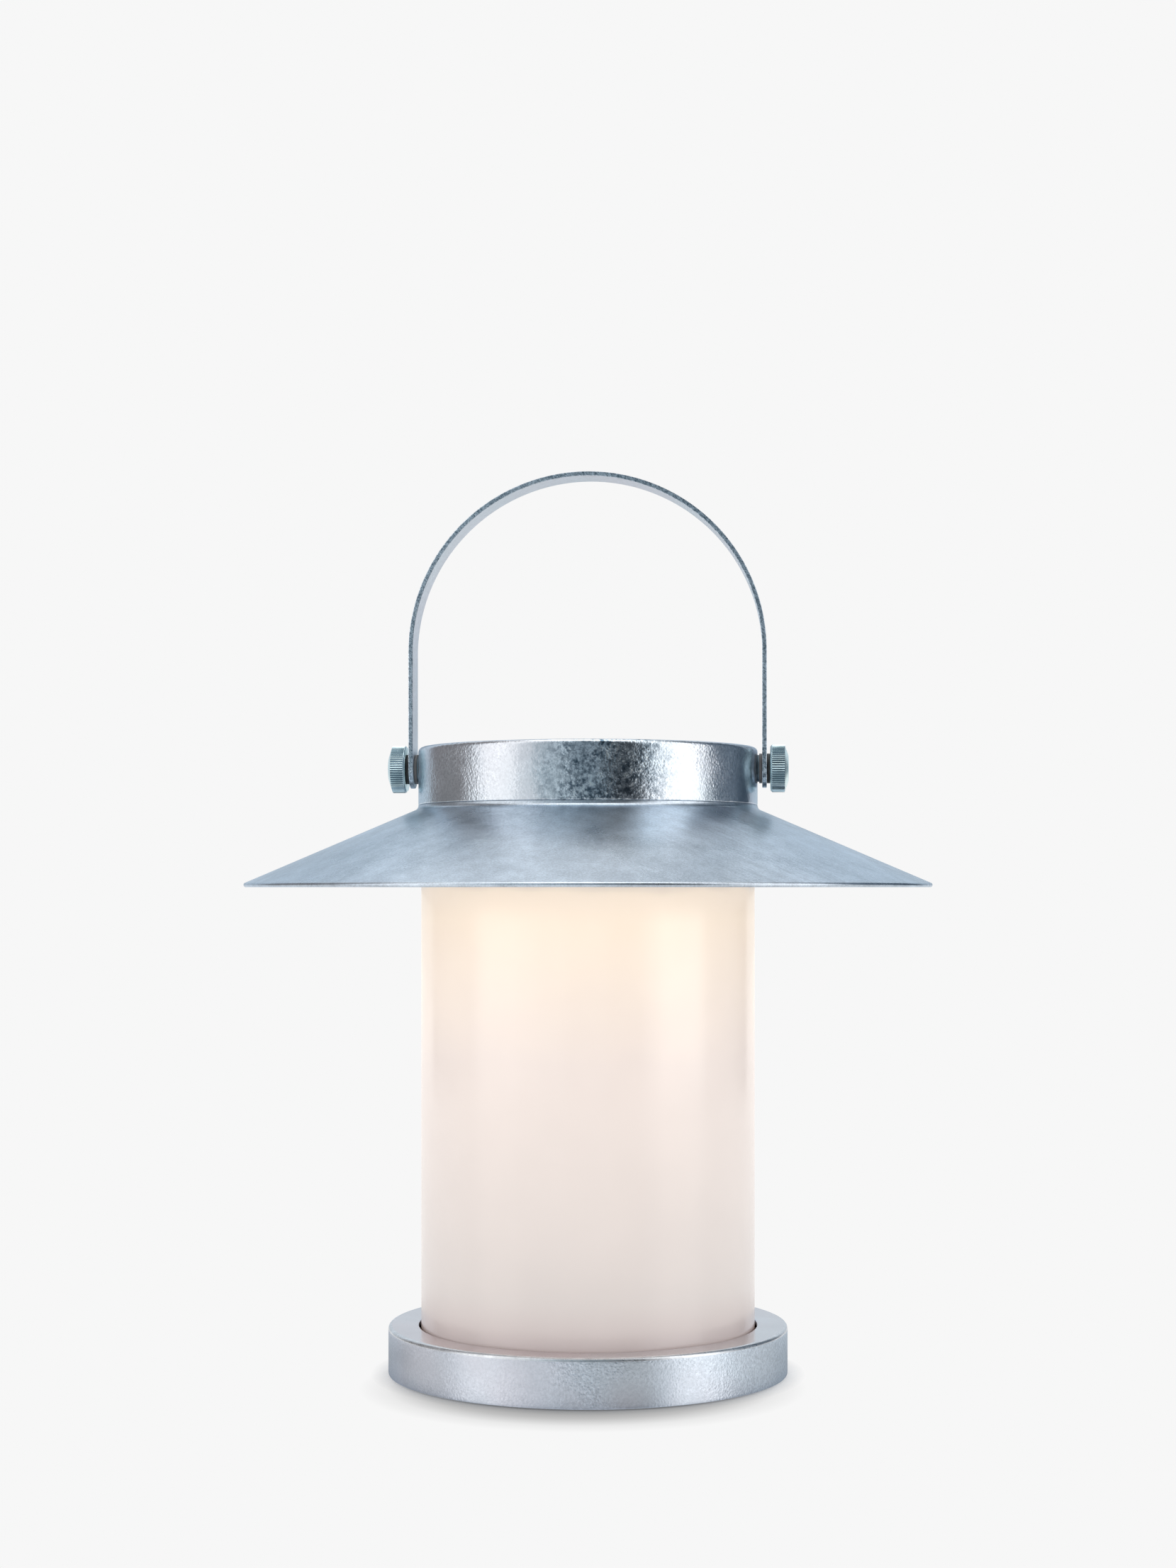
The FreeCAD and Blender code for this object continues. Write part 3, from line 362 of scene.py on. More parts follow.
def hammered_zinc(name, zinc, rough, peel, patch_scale, waves=0.0001, metal=1.0, tint=None, grain=0.05,
                  front_reflection=None):
    """Zinc with a fine orange peel, deeper in some patches than in others; it may carry a painted, mottled
    dark reflection on its front.
    """
    patch_rim = (0.40, 0.60)
    finish = Finish(name)
    pebbles = finish.plus(finish.cells(1250.0), finish.noise(2000.0, detail=2.0))
    patch = finish.noise(patch_scale, rough=0.6, warp=0.4)
    speck = finish.spread(finish.noise(1100.0, rough=0.65), 1.0 - grain, 1.0 + grain)
    tone = finish.clouded(finish.spread(patch), zinc, 0.92, 1.07)
    tone = finish.mix(finish.span(patch, *patch_rim, 0.35, 1.0), tone, finish.grey(speck), "MULTIPLY")
    cast = finish.span(finish.noise(22.0, detail=2.0), 0.38, 0.62)
    tone = finish.tinted(tone, finish.mix(cast, colours().zinc_warm, colours().zinc_cool))
    # painted reflection: dark mottles on the front of the wall
    if front_reflection:
        tone = finish.tinted(tone, painted_front_reflection(finish, *front_reflection))
    swell = finish.bump(finish.noise(110.0, detail=4.0, rough=0.6), depth=waves, strength=0.5)
    pits = finish.times(pebbles, finish.span(patch, *patch_rim, 0.3, 1.0))
    finish.set(Base_Color=tone, Metallic=metal, Roughness=finish.spread(patch, *rough),
               Specular_Tint=opaque(tint or colours().edge_tint),
               Normal=finish.bump(pits, depth=peel, strength=0.8, under=swell))
    return finish.material


def painted_front_reflection(finish, middle, reach, dark):
    """Painted reflection: tone of a stretch of the front wall that is mottled with a dark reflection round
    its middle.
    """
    front_from, front_fully = -0.02, -0.04
    core = reach * 0.4
    offset = finish.maths("ABSOLUTE", finish.maths("SUBTRACT", finish.axis("X"), middle))
    front = finish.span(finish.axis("Y"), front_from, front_fully)
    stretch = finish.times(front, finish.span(offset, core, reach, 1.0, 0.0))
    where = finish.times(stretch, finish.span(finish.noise(120.0, rough=0.6), 0.36, 0.56, 0.35, 1.0))
    reflection_mottle = finish.span(finish.noise(560.0, detail=5.0, rough=0.72), 0.40, 0.60)
    return finish.mix(where, 1.0, finish.mix(reflection_mottle, dark, 1.35))


def worn_zinc(name, zinc, dark, fleck, speck_scale, rough):
    """Zinc with dark specks and fine slanted shear lines on an edge."""
    line_scale = speck_scale * 3.4
    patch_scale = speck_scale * 0.2
    finish = Finish(name)
    slant = finish.stretched((line_scale, line_scale, speck_scale), SHEAR_LINES)
    lines = finish.noise(1.0, rough=0.7, vector=slant)
    specks = finish.span(finish.noise(speck_scale, rough=0.65), 0.26, 0.70)
    patches = finish.span(finish.noise(patch_scale, rough=0.6), 0.35, 0.62, 0.7, 1.1)
    bright = finish.plus(finish.times(specks, patches), finish.spread(lines, -fleck, fleck))
    finish.set(Base_Color=finish.mix(bright, dark, zinc), Metallic=1.0,
               Roughness=finish.spread(lines, rough + 0.08, rough - 0.06),
               Normal=finish.bump(lines, depth=0.000015, strength=0.6))
    return finish.material


def knurled_zinc(name, zinc, root, rim):
    """Plated steel of a knurled head, with painted shade in its grooves, painted highlights on its ridges and
    a painted lighter tone on its coned end.
    """
    finish = Finish(name)
    across = finish.vectors("MULTIPLY", (0.0, 1.0, 1.0)).outputs[0]
    reach = finish.distance((0.0, 0.0, pivot_height()), across)
    clouds = finish.noise(260.0, detail=4.0, rough=0.6)
    grain = finish.noise(2600.0, detail=2.0)
    # painted shade in the grooves and painted highlights on the ridges
    groove_shade_ridge_highlight = finish.ramp(finish.span(reach, root, rim), [
        (0.0, shade(zinc, 0.28)),
        (0.5, shade(zinc, 0.72)),
        (0.85, shade(zinc, 1.25)),
    ])
    # painted lighter tone inside the knurl's root: the coned end and the shank
    lightened_inside_knurl = finish.maths("GREATER_THAN", root - NEAR, reach)
    tone = finish.mix(lightened_inside_knurl, groove_shade_ridge_highlight, shade(zinc, 1.2))
    tone = finish.tinted(tone, finish.grey(finish.spread(clouds, 0.84, 1.1)))
    gloss = finish.plus(finish.spread(clouds, 0.17, 0.27), finish.spread(grain, -0.03, 0.03))
    finish.set(Base_Color=tone, Metallic=1.0, Roughness=gloss,
               Normal=finish.bump(grain, depth=0.000006, strength=0.5))
    return finish.material


def plated_steel(name, steel, rough=0.34):
    """Turned and plated steel with faint clouding and fine scratches."""
    finish = Finish(name)
    clouds = finish.noise(240.0, detail=4.0, rough=0.6)
    along = finish.stretched((300.0, 4200.0, 300.0), TURNED_SCRATCHES)
    scratches = finish.noise(1.0, rough=0.6, vector=along)
    gloss = finish.plus(finish.spread(clouds, rough - 0.05, rough + 0.08),
                        finish.span(scratches, 0.35, 0.65, -0.03, 0.03))
    finish.set(Base_Color=finish.clouded(finish.spread(clouds), steel, 0.82, 1.12), Metallic=1.0,
               Roughness=gloss, Normal=finish.bump(scratches, depth=0.000006, strength=0.4))
    return finish.material


def moulded(name, tint, rough, grain_scale=1600.0, grain_depth=0.00002, **extra):
    """Moulded plastic or rubber with a fine eroded grain and faint handling marks."""
    finish = Finish(name)
    grain = finish.noise(grain_scale, detail=2.0)
    marks = finish.noise(70.0, detail=4.0, rough=0.6)
    finish.set(Base_Color=finish.clouded(finish.spread(marks), tint, 0.88, 1.1),
               Roughness=finish.spread(marks, rough - 0.06, rough + 0.06),
               Normal=finish.bump(grain, depth=grain_depth, strength=0.5), **extra)
    return finish.material


def opal_acrylic(name, white, glows):
    """Opal tube lit from its upper end: the warm glow fades downward, and the skin is softly glossy. Painted
    shade dims the sides, the top under the hem and the foot.
    """
    side_shade_from, side_shade_level = opal_high.x * 0.5, 0.80
    finish = Finish(name)
    cloud = finish.noise(30.0, detail=2.0)
    skin = finish.noise(140.0)
    height = finish.span(finish.axis("Z"), opal_low.z, opal_high.z)
    # painted shade: the glow dims toward the tube's sides along X
    across = finish.maths("ABSOLUTE", finish.axis("X"))
    painted_side_shade = finish.span(across, side_shade_from, opal_high.x, 1.0, side_shade_level)
    glow_low, glow_middle, glow_high = glows
    glow = finish.ramp(finish.plus(height, finish.spread(cloud, -0.012, 0.012)), [
        (0.0, shade(glow_low, 0.4)),
        (0.13, glow_low),
        (0.56, glow_middle),
        (0.81, glow_high),
        # painted shadow of the brim's hem: the glow drops at the tube's top
        (0.862, shade(glow_high, 0.93)),
        (0.885, shade(glow_high, 0.45)),
    ])
    # painted shade, pinkish, low on the tube where it stands in the base
    painted_base_shade = finish.ramp(height, [
        (0.04, (0.97, 0.89, 0.91)),
        (0.085, (1.0, 0.955, 0.96)),
        (0.14, 1.0),
    ])
    tone = finish.clouded(finish.spread(cloud), white, 0.985, 1.015)
    finish.set(Base_Color=finish.tinted(tone, painted_base_shade), Roughness=finish.spread(skin, 0.15, 0.22), IOR=1.49,
               Specular_IOR_Level=0.68, Emission_Color=finish.tinted(glow, finish.grey(painted_side_shade)),
               Emission_Strength=1.0, Normal=finish.bump(skin, depth=0.00002, strength=0.3))
    return finish.material


def solar_glass(name, silicon, contact):
    """Silicon under clear film, with thin silver fingers and two wider bars on each cell."""
    fingers_per_metre, finger_share = 620.0, 0.11
    bars_per_metre, half_bar_share = 65.6, 0.035
    finish = Finish(name)
    flakes = finish.noise(260.0, detail=2.0)
    finger_wave = finish.maths("FRACT", finish.times(finish.axis("X"), fingers_per_metre))
    finger = finish.maths("LESS_THAN", finger_wave, finger_share)
    bar_wave = finish.maths("FRACT", finish.times(finish.axis("Y"), bars_per_metre))
    from_bar = finish.maths("ABSOLUTE", finish.maths("SUBTRACT", bar_wave, 0.5))
    line = finish.maths("MAXIMUM", finger, finish.maths("LESS_THAN", from_bar, half_bar_share))
    tone = finish.clouded(finish.span(flakes, 0.35, 0.65), silicon, 0.7, 1.6)
    finish.set(Base_Color=finish.mix(line, tone, contact), Metallic=finish.times(line, 0.8),
               Roughness=finish.spread(flakes, 0.22, 0.3),
               Normal=finish.bump(flakes, depth=0.000008, strength=0.3),
               Coat_Weight=1.0, Coat_Roughness=0.06)
    return finish.material


def pivot_height():
    return (screw_low.z + screw_high.z) / 2


def spun(corners, steps=SPIN_STEPS, closed=True):
    """Spin an outline of (radius, height) corners about Z; an open one starts and ends on the axis."""
    mesh = bmesh.new()
    verts = [mesh.verts.new((radius, 0.0, height)) for radius, height in corners]
    after = verts[1:] + verts[:1] if closed else verts[1:]
    edges = [mesh.edges.new(pair) for pair in zip(verts, after)]
    bmesh.ops.spin(mesh, geom=verts + edges, cent=(0, 0, 0), axis=(0, 0, 1), angle=math.tau,
                   steps=steps, use_merge=True)
    bmesh.ops.remove_doubles(mesh, verts=mesh.verts, dist=MERGE)
    bmesh.ops.recalc_face_normals(mesh, faces=mesh.faces)
    return mesh


def rounded(mesh, edges, size, segments):
    """Round some edges, and hand back the new faces."""
    made = bmesh.ops.bevel(mesh, geom=edges, offset=size, offset_type="OFFSET", affect="EDGES",
                           segments=segments, profile=0.5, material=-1)
    return made["faces"]


def round_ring(mesh, radius, height, size, segments):
    """Round the ring of edges at a radius and height, and hand back the new faces."""
    def on_ring(vert):
        return abs(math.hypot(vert.co.x, vert.co.y) - radius) < NEAR and abs(vert.co.z - height) < NEAR

    edges = [edge for edge in mesh.edges if all(on_ring(vert) for vert in edge.verts)]
    if not edges:
        raise RuntimeError(f"no ring at radius {radius:.5f} and height {height:.5f}")
    return rounded(mesh, edges, size, segments)


def all_round(radius, height):
    """A station at which all points of a loop have one radius and height."""
    return lambda number: (radius, height)


def grow(mesh, edges, count, station):
    """Extrude a loop to its next station, which gives radius and height by a point's number in the loop."""
    made = bmesh.ops.extrude_edge_only(mesh, edges=edges)["geom"]
    verts = {item for item in made if isinstance(item, bmesh.types.BMVert)}
    for vert in verts:
        angle = math.atan2(vert.co.y, vert.co.x)
        radius, height = station(round(angle / math.tau * count) % count)
        vert.co = (radius * math.cos(angle), radius * math.sin(angle), height)
    return [item for item in made if isinstance(item, bmesh.types.BMEdge) and set(item.verts) <= verts]


def turned(count, radius, tip, stations):
    """A closed piece about Z, grown loop by loop from its tip."""
    mesh = bmesh.new()
    made = bmesh.ops.create_circle(mesh, cap_ends=False, segments=count, radius=radius,
                                   matrix=Matrix.Translation((0.0, 0.0, tip)))
    loop = list({edge for vert in made["verts"] for edge in vert.link_edges})
    bmesh.ops.edgeloop_fill(mesh, edges=loop)
    for station in stations:
        loop = grow(mesh, loop, count, station)
    bmesh.ops.edgeloop_fill(mesh, edges=loop)
    bmesh.ops.recalc_face_normals(mesh, faces=mesh.faces)
    return mesh


def lay_on_pivot(mesh, side, foot):
    """Lay a mesh that stands on Z along the handle's pivot, pointing outward, with its foot at a distance."""
    turn = Matrix.Rotation(math.radians(90 * side), 4, "Y")
    place = Matrix.Translation((foot * side, 0.0, pivot_height()))
    bmesh.ops.transform(mesh, matrix=place @ turn, verts=mesh.verts)


def as_object(name, mesh, finishes=()):
    """Turn a finished bmesh into an object of the scene."""
    data = bpy.data.meshes.new(name)
    mesh.to_mesh(data)
    mesh.free()
    for finish in finishes:
        data.materials.append(finish)
    made = bpy.data.objects.new(name, data)
    bpy.context.scene.collection.objects.link(made)
    return made


def add_piece(name, mesh, finishes, body, node, crease=32.0):
    """Make a piece of a finished bmesh; it rides on a body and stands for its CAD node."""
    piece = as_object(name, mesh, finishes)
    piece.data.shade_smooth()
    piece.data.set_sharp_from_angle(angle=math.radians(crease))
    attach(piece, body)
    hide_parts(node)
    return piece


class MakeBase(bpy.types.Operator):
    """Pressed base with a rounded upper edge, rubbed and with a painted highlight"""

    bl_idname = "lantern.make_base"
    bl_label = "Base"

    WALL, EDGE, TOP = range(3)  # slots of the base's three finishes

    def execute(self, context):
        size = sizes()
        inner = size.base_radius - size.base_sheet
        under = base_high.z - size.base_sheet
        mesh = spun([
            (size.base_hole, under),
            (inner, under),
            (inner, base_low.z),
            (size.base_radius, base_low.z),
            (size.base_radius, base_low.z + HOLD),
            (size.base_radius, base_high.z - size.base_edge - HOLD),
            (size.base_radius, base_high.z),
            (size.base_radius - size.base_edge - HOLD, base_high.z),
            (size.base_hole + HOLD, base_high.z),
            (size.base_hole, base_high.z),
        ])
        for face in mesh.faces:
            on_top = face.calc_center_median().z > base_high.z - NEAR
            face.material_index = self.TOP if on_top else self.WALL
        for face in round_ring(mesh, size.base_radius, base_high.z, size.base_edge, 6):
            face.material_index = self.EDGE
        round_ring(mesh, size.base_radius, base_low.z, FINE_EDGE, 2)
        round_ring(mesh, size.base_hole, base_high.z, SOFT_EDGE, 3)
        add_piece("pressed_base", mesh, self.finishes(), "lantern", "base_ring")
        return {"FINISHED"}

    def finishes(self):
        tint = colours()
        wall = hammered_zinc("satin_hammered_zinc", tint.base_zinc, rough=(0.20, 0.32), peel=0.0001,
                             patch_scale=26.0, grain=0.2)
        # the edge's lighter zinc is partly rubbed wear, partly a painted highlight
        edge = worn_zinc("worn_and_highlit_base_edge", tint.rim_zinc_and_highlight, shade(tint.rim_zinc_and_highlight, 0.75), fleck=0.15,
                         speck_scale=300.0, rough=0.30)
        # lighter, warmer tone than the wall: a painted reflection of the glowing tube
        top = hammered_zinc("satin_base_top", tint.top_zinc_and_reflection, rough=(0.13, 0.22), peel=0.00001,
                            patch_scale=40.0, tint=tint.top_tint)
        return wall, edge, top


class MakeOpal(bpy.types.Operator):
    """Glowing opal cylinder"""

    bl_idname = "lantern.make_opal"
    bl_label = "Opal cylinder"

    def execute(self, context):
        size = sizes()
        bore = size.opal_radius - size.opal_wall
        mesh = spun([
            (bore, opal_low.z),
            (size.opal_radius, opal_low.z),
            (size.opal_radius, opal_high.z),
            (bore, opal_high.z),
        ])
        for height in (opal_low.z, opal_high.z):
            round_ring(mesh, size.opal_radius, height, SOFT_EDGE, 3)
        tint = colours()
        glows = (tint.glow_low, tint.glow_middle, tint.glow_high)
        acrylic = opal_acrylic("opal_acrylic_lit", tint.opal, glows)
        add_piece("opal_tube", mesh, [acrylic], "lantern", "opal_cylinder")
        return {"FINISHED"}


class MakeBrim(bpy.types.Operator):
    """Spun brim with a rolled edge and a neck turned up under the collar"""

    bl_idname = "lantern.make_brim"
    bl_label = "Brim"

    HEM_UNDER, HEM_TOP, HEM_INNER = 0.45, 0.28, 0.4  # roundings as shares of the hem
    HOLLOW_HALF_ANGLE = math.radians(33)

    def execute(self, context):
        size = sizes()
        seat = brim_high.z
        hem_inner = size.brim_radius - size.hem
        hem_top = brim_low.z + size.hem
        foot = seat - size.neck_drop
        slope = (foot - hem_top) / (size.brim_radius - size.hem / 2 - size.collar_radius)
        rim_top = hem_top - slope * size.hem / 2
        under_hem = foot - size.brim_sheet - slope * (hem_inner - size.collar_radius)
        neck_in = size.collar_radius - size.collar_sheet
        mesh = spun([
            (size.brim_bore, seat - size.brim_sheet),
            (neck_in, seat - size.brim_sheet),
            (size.collar_radius, foot - size.brim_sheet),
            (hem_inner, under_hem),
            (hem_inner, brim_low.z),
            (size.brim_radius, brim_low.z),
            (size.brim_radius, rim_top),
            (size.brim_radius - HOLD, rim_top + slope * HOLD),
            (size.collar_radius + size.neck_hollow, foot - slope * size.neck_hollow),
            (size.collar_radius, foot),
            (size.collar_radius, seat + size.neck_rise),
            (neck_in, seat + size.neck_rise),
            (neck_in, seat),
            (size.brim_bore, seat),
        ])
        round_ring(mesh, size.brim_radius, brim_low.z, size.hem * self.HEM_UNDER, 5)
        round_ring(mesh, size.brim_radius, rim_top, size.hem * self.HEM_TOP, 4)
        round_ring(mesh, hem_inner, brim_low.z, size.hem * self.HEM_INNER, 4)
        round_ring(mesh, size.collar_radius, foot, size.neck_hollow * math.tan(self.HOLLOW_HALF_ANGLE), 6)
        zinc = brushed_zinc("brushed_brim_zinc", colours().brim_zinc)
        add_piece("spun_brim", mesh, [zinc], "lantern", "hat_brim", crease=40.0)
        return {"FINISHED"}


class MakeCollar(bpy.types.Operator):
    """Hammered collar with a turned-in lip and bored sides"""

    bl_idname = "lantern.make_collar"
    bl_label = "Collar"

    # where the painted dark reflection lies on the collar's front
    BRUISE_MIDDLE, BRUISE_REACH = 0.009, 0.025
    BAR_LENGTH = 2.2  # in radii of the collar

    def execute(self, context):
        size = sizes()
        low = collar_low.z + size.neck_rise
        top = collar_high.z
        bore = size.collar_radius - size.collar_sheet
        lip = size.collar_radius - size.collar_lip
        mesh = spun([
            (bore, low),
            (size.collar_radius, low),
            (size.collar_radius, low + HOLD),
            (size.collar_radius, pivot_height() - size.nut_hole - HOLD),
            (size.collar_radius, pivot_height() + size.nut_hole + HOLD),
            (size.collar_radius, top),
            (size.collar_radius - size.collar_edge - HOLD, top),
            (lip, top),
            (lip, top - size.collar_sheet),
            (bore, top - size.collar_sheet),
        ])
        round_ring(mesh, size.collar_radius, top, size.collar_edge, 6)
        round_ring(mesh, size.collar_radius, low, size.collar_foot, 3)
        round_ring(mesh, lip, top, FINE_EDGE, 2)
        front_reflection = (self.BRUISE_MIDDLE, self.BRUISE_REACH, colours().collar_front_reflection)
        zinc = hammered_zinc("bright_hammered_zinc", colours().collar_zinc, rough=(0.16, 0.25), peel=0.00008,
                             patch_scale=40.0, waves=0.0002, grain=0.22, front_reflection=front_reflection)
        piece = add_piece("hammered_collar", mesh, [zinc], "lantern", "collar")
        self.bore_sides(piece)
        return {"FINISHED"}

    def bore_sides(self, piece):
        """Cut one round bar along the pivot out of both sides of the collar."""
        size = sizes()
        mesh = bmesh.new()
        bmesh.ops.create_cone(mesh, cap_ends=True, segments=SMALL_STEPS, radius1=size.nut_hole,
                              radius2=size.nut_hole, depth=size.collar_radius * self.BAR_LENGTH)
        lay_on_pivot(mesh, 1, 0.0)
        bar = as_object("pivot_bar", mesh)
        cut = piece.modifiers.new("pivot_bores", "BOOLEAN")
        cut.operation = "DIFFERENCE"
        cut.solver = "EXACT"
        cut.object = bar
        bpy.context.view_layer.update()
        bored = bpy.data.meshes.new_from_object(piece.evaluated_get(bpy.context.evaluated_depsgraph_get()))
        piece.modifiers.clear()
        piece.data = bored
        bpy.data.objects.remove(bar)


class MakeHandle(bpy.types.Operator):
    """Bail handle of flat strap, bent to a half circle, with round, bored ends"""

    bl_idname = "lantern.make_handle"
    bl_label = "Handle"

    END_STEPS = 48
    SHOULDER = 1.2  # where the leg begins above the pivot, in half widths of the strap
    SHARP = 1.0  # two faces that meet at more than this angle, in radians, form a sheared edge
    SQUARE_ON = 0.9  # a face whose normal points this far in or out is one of the flat sides
    FLAT, EDGE = range(2)  # slots of the strap's two finishes

    def execute(self, context):
        size = sizes()
        arch = strap_high.z - strap_high.x
        mesh = bmesh.new()
        self.right_half(mesh, arch)
        bmesh.ops.mirror(mesh, geom=mesh.verts[:] + mesh.edges[:] + mesh.faces[:], matrix=Matrix.Identity(4),
                         merge_dist=NEAR / 4, axis="X")
        bmesh.ops.remove_doubles(mesh, verts=mesh.verts, dist=MERGE)
        bmesh.ops.recalc_face_normals(mesh, faces=mesh.faces)
        bmesh.ops.solidify(mesh, geom=mesh.faces[:], thickness=size.strap_sheet)
        bmesh.ops.recalc_face_normals(mesh, faces=mesh.faces)
        sharp = [edge for edge in mesh.edges if edge.is_manifold and edge.calc_face_angle() > self.SHARP]
        rounded(mesh, sharp, size.strap_break, 2)
        for face in mesh.faces:
            middle = face.calc_center_median()
            out = Vector((middle.x, 0, max(0.0, middle.z - arch))).normalized()
            flat = abs(face.normal.dot(out)) > self.SQUARE_ON
            face.material_index = self.FLAT if flat else self.EDGE
        tint = colours()
        finishes = (
            hammered_zinc("strap_face_zinc", tint.strap_zinc, rough=(0.36, 0.48), peel=0.00002,
                          patch_scale=60.0, metal=0.3, grain=0.12),
            worn_zinc("sheared_strap_edge", tint.edge_zinc, tint.edge_dark, fleck=0.62,
                      speck_scale=1250.0, rough=0.32),
        )
        add_piece("strap_handle", mesh, finishes, "handle", "bail_handle", crease=20.0)
        return {"FINISHED"}

    def right_half(self, mesh, arch):
        """Outer face of the right end, its leg and a quarter circle of the bend."""
        half = strap_high.y
        shoulder = half * self.SHOULDER
        hole, end = [self.circle(mesh, radius) for radius in (sizes().strap_hole, half)]
        for vert in end:
            across = vert.co.y / half
            up = (vert.co.z - pivot_height()) / half
            if up > NEAR:
                square = max(abs(across), up)
                vert.co.y = half * across / square
                vert.co.z = pivot_height() + shoulder * up / square
        edges = {edge for vert in (*hole, *end) for edge in vert.link_edges}
        bmesh.ops.bridge_loops(mesh, edges=list(edges))
        top = pivot_height() + shoulder
        leg = bmesh.ops.extrude_edge_only(mesh, edges=self.edges_at(mesh, top))["geom"]
        verts = [item for item in leg if isinstance(item, bmesh.types.BMVert)]
        bmesh.ops.translate(mesh, vec=(0, 0, arch - top), verts=verts)
        ends = self.edges_at(mesh, arch)
        geom = ends + list({vert for edge in ends for vert in edge.verts})
        bmesh.ops.spin(mesh, geom=geom, cent=(0, 0, arch), axis=(0, 1, 0), angle=-math.pi / 2,
                       steps=SMALL_STEPS)
        bmesh.ops.remove_doubles(mesh, verts=mesh.verts, dist=MERGE)

    def circle(self, mesh, radius):
        """Points of a circle round the pivot, on the strap's outer face."""
        plane = Matrix(((0, 0, 1, strap_high.x), (1, 0, 0, 0), (0, 1, 0, pivot_height()), (0, 0, 0, 1)))
        made = bmesh.ops.create_circle(mesh, cap_ends=False, segments=self.END_STEPS, radius=radius,
                                       matrix=plane)
        return made["verts"]

    def edges_at(self, mesh, height):
        return [edge for edge in mesh.edges if all(abs(vert.co.z - height) < NEAR for vert in edge.verts)]


class MakeThumbScrews(bpy.types.Operator):
    """Two thumb screws with straight-knurled, coned heads"""

    bl_idname = "lantern.make_thumb_screws"
    bl_label = "Thumb screws"

    def execute(self, context):
        rim = (screw_high.z - screw_low.z) / 2
        zinc = knurled_zinc("plated_knob_zinc", colours().knob_zinc, rim - sizes().knurl_depth, rim)
        for name, side in SIDES:
            mesh = self.screw(rim)
            lay_on_pivot(mesh, side, screw_high.x - sizes().knob_height)
            add_piece(f"knurled_screw_{name}", mesh, [zinc], f"{name}_screw",
                      f"thumb_screw_{name}", crease=25.0)
        return {"FINISHED"}

    def screw(self, radius):
        """Head and shank about Z, grown from the shank's tip."""
        size = sizes()
        crown = size.knob_height - size.knob_crown
        fall = size.knob_crown / (radius - size.knob_face)
        root = radius - size.knurl_depth
        step = size.knob_step
        tip = -(screw_high.x - size.knob_height - screw_low.x)
        tilt = math.atan(fall)
        flat = size.knob_face - size.knob_round * math.tan(tilt / 2)

        def dome(part):
            swing = tilt * part
            return all_round(flat + size.knob_round * math.sin(swing),
                             size.knob_height - size.knob_round * (1 - math.cos(swing)))

        def ridges(ridge_height, groove_height):
            return lambda number: (radius, ridge_height) if number % 2 else (root, groove_height)

        mesh = turned(size.knurl_count * 2, size.shank_radius - SOFT_EDGE, tip, [
            all_round(size.shank_radius, tip + SOFT_EDGE),
            all_round(size.shank_radius, -FILLET),
            all_round(size.shank_radius + FILLET, 0.0),
            all_round(radius - size.knob_break - step, 0.0),
            all_round(radius - size.knob_break, step / 2),
            all_round(radius - step * 1.2, size.knob_break - step),
            all_round(radius - step, size.knob_break),
            ridges(size.knob_break + step, size.knob_break + step),
            ridges(crown, crown + fall * size.knurl_depth),
            all_round(root - step, crown + fall * (size.knurl_depth + step)),
            *(dome(part) for part in (1.0, 0.67, 0.33, 0.0)),
            all_round(flat * 0.5, size.knob_height),
        ])
        crests = [edge for edge in mesh.edges if self.on_crest(edge, radius, (crown - size.knob_break) / 2)]
        rounded(mesh, crests, step * 0.9, 2)
        return mesh

    def on_crest(self, edge, radius, shortest):
        """Whether an edge runs along the crest of a knurl."""
        first, second = edge.verts
        at_rim = all(abs(math.hypot(vert.co.x, vert.co.y) - radius) < NEAR for vert in edge.verts)
        return at_rim and abs(first.co.z - second.co.z) > shortest


class MakeWashers(bpy.types.Operator):
    """Grey spacers and dark washers on both sides of the strap"""

    bl_idname = "lantern.make_washers"
    bl_label = "Washers"

    NYLON_GRAIN = (2200.0, 0.00001)

    def execute(self, context):
        tint = colours()
        grey_nylon = moulded("grey_spacer_nylon", tint.spacer, 0.36, *self.NYLON_GRAIN)
        dark_nylon = moulded("dark_washer_nylon", tint.washer, 0.42, *self.NYLON_GRAIN)
        for name, side in SIDES:
            for label, low, high, nylon, body in (
                ("inner_spacer", spacer_low, spacer_high, grey_nylon, "lantern"),
                ("outer_washer", washer_low, washer_high, dark_nylon, f"{name}_washer"),
            ):
                mesh = self.washer((high.z - low.z) / 2, high.x - low.x)
                lay_on_pivot(mesh, side, low.x)
                add_piece(f"nylon_{label}_{name}", mesh, [nylon], body, f"{label}_{name}")
        return {"FINISHED"}

    def washer(self, radius, thick):
        bore = sizes().strap_hole
        mesh = spun([(bore, 0.0), (radius, 0.0), (radius, thick), (bore, thick)], SMALL_STEPS)
        for height in (0.0, thick):
            round_ring(mesh, radius, height, FILLET, 3)
        return mesh


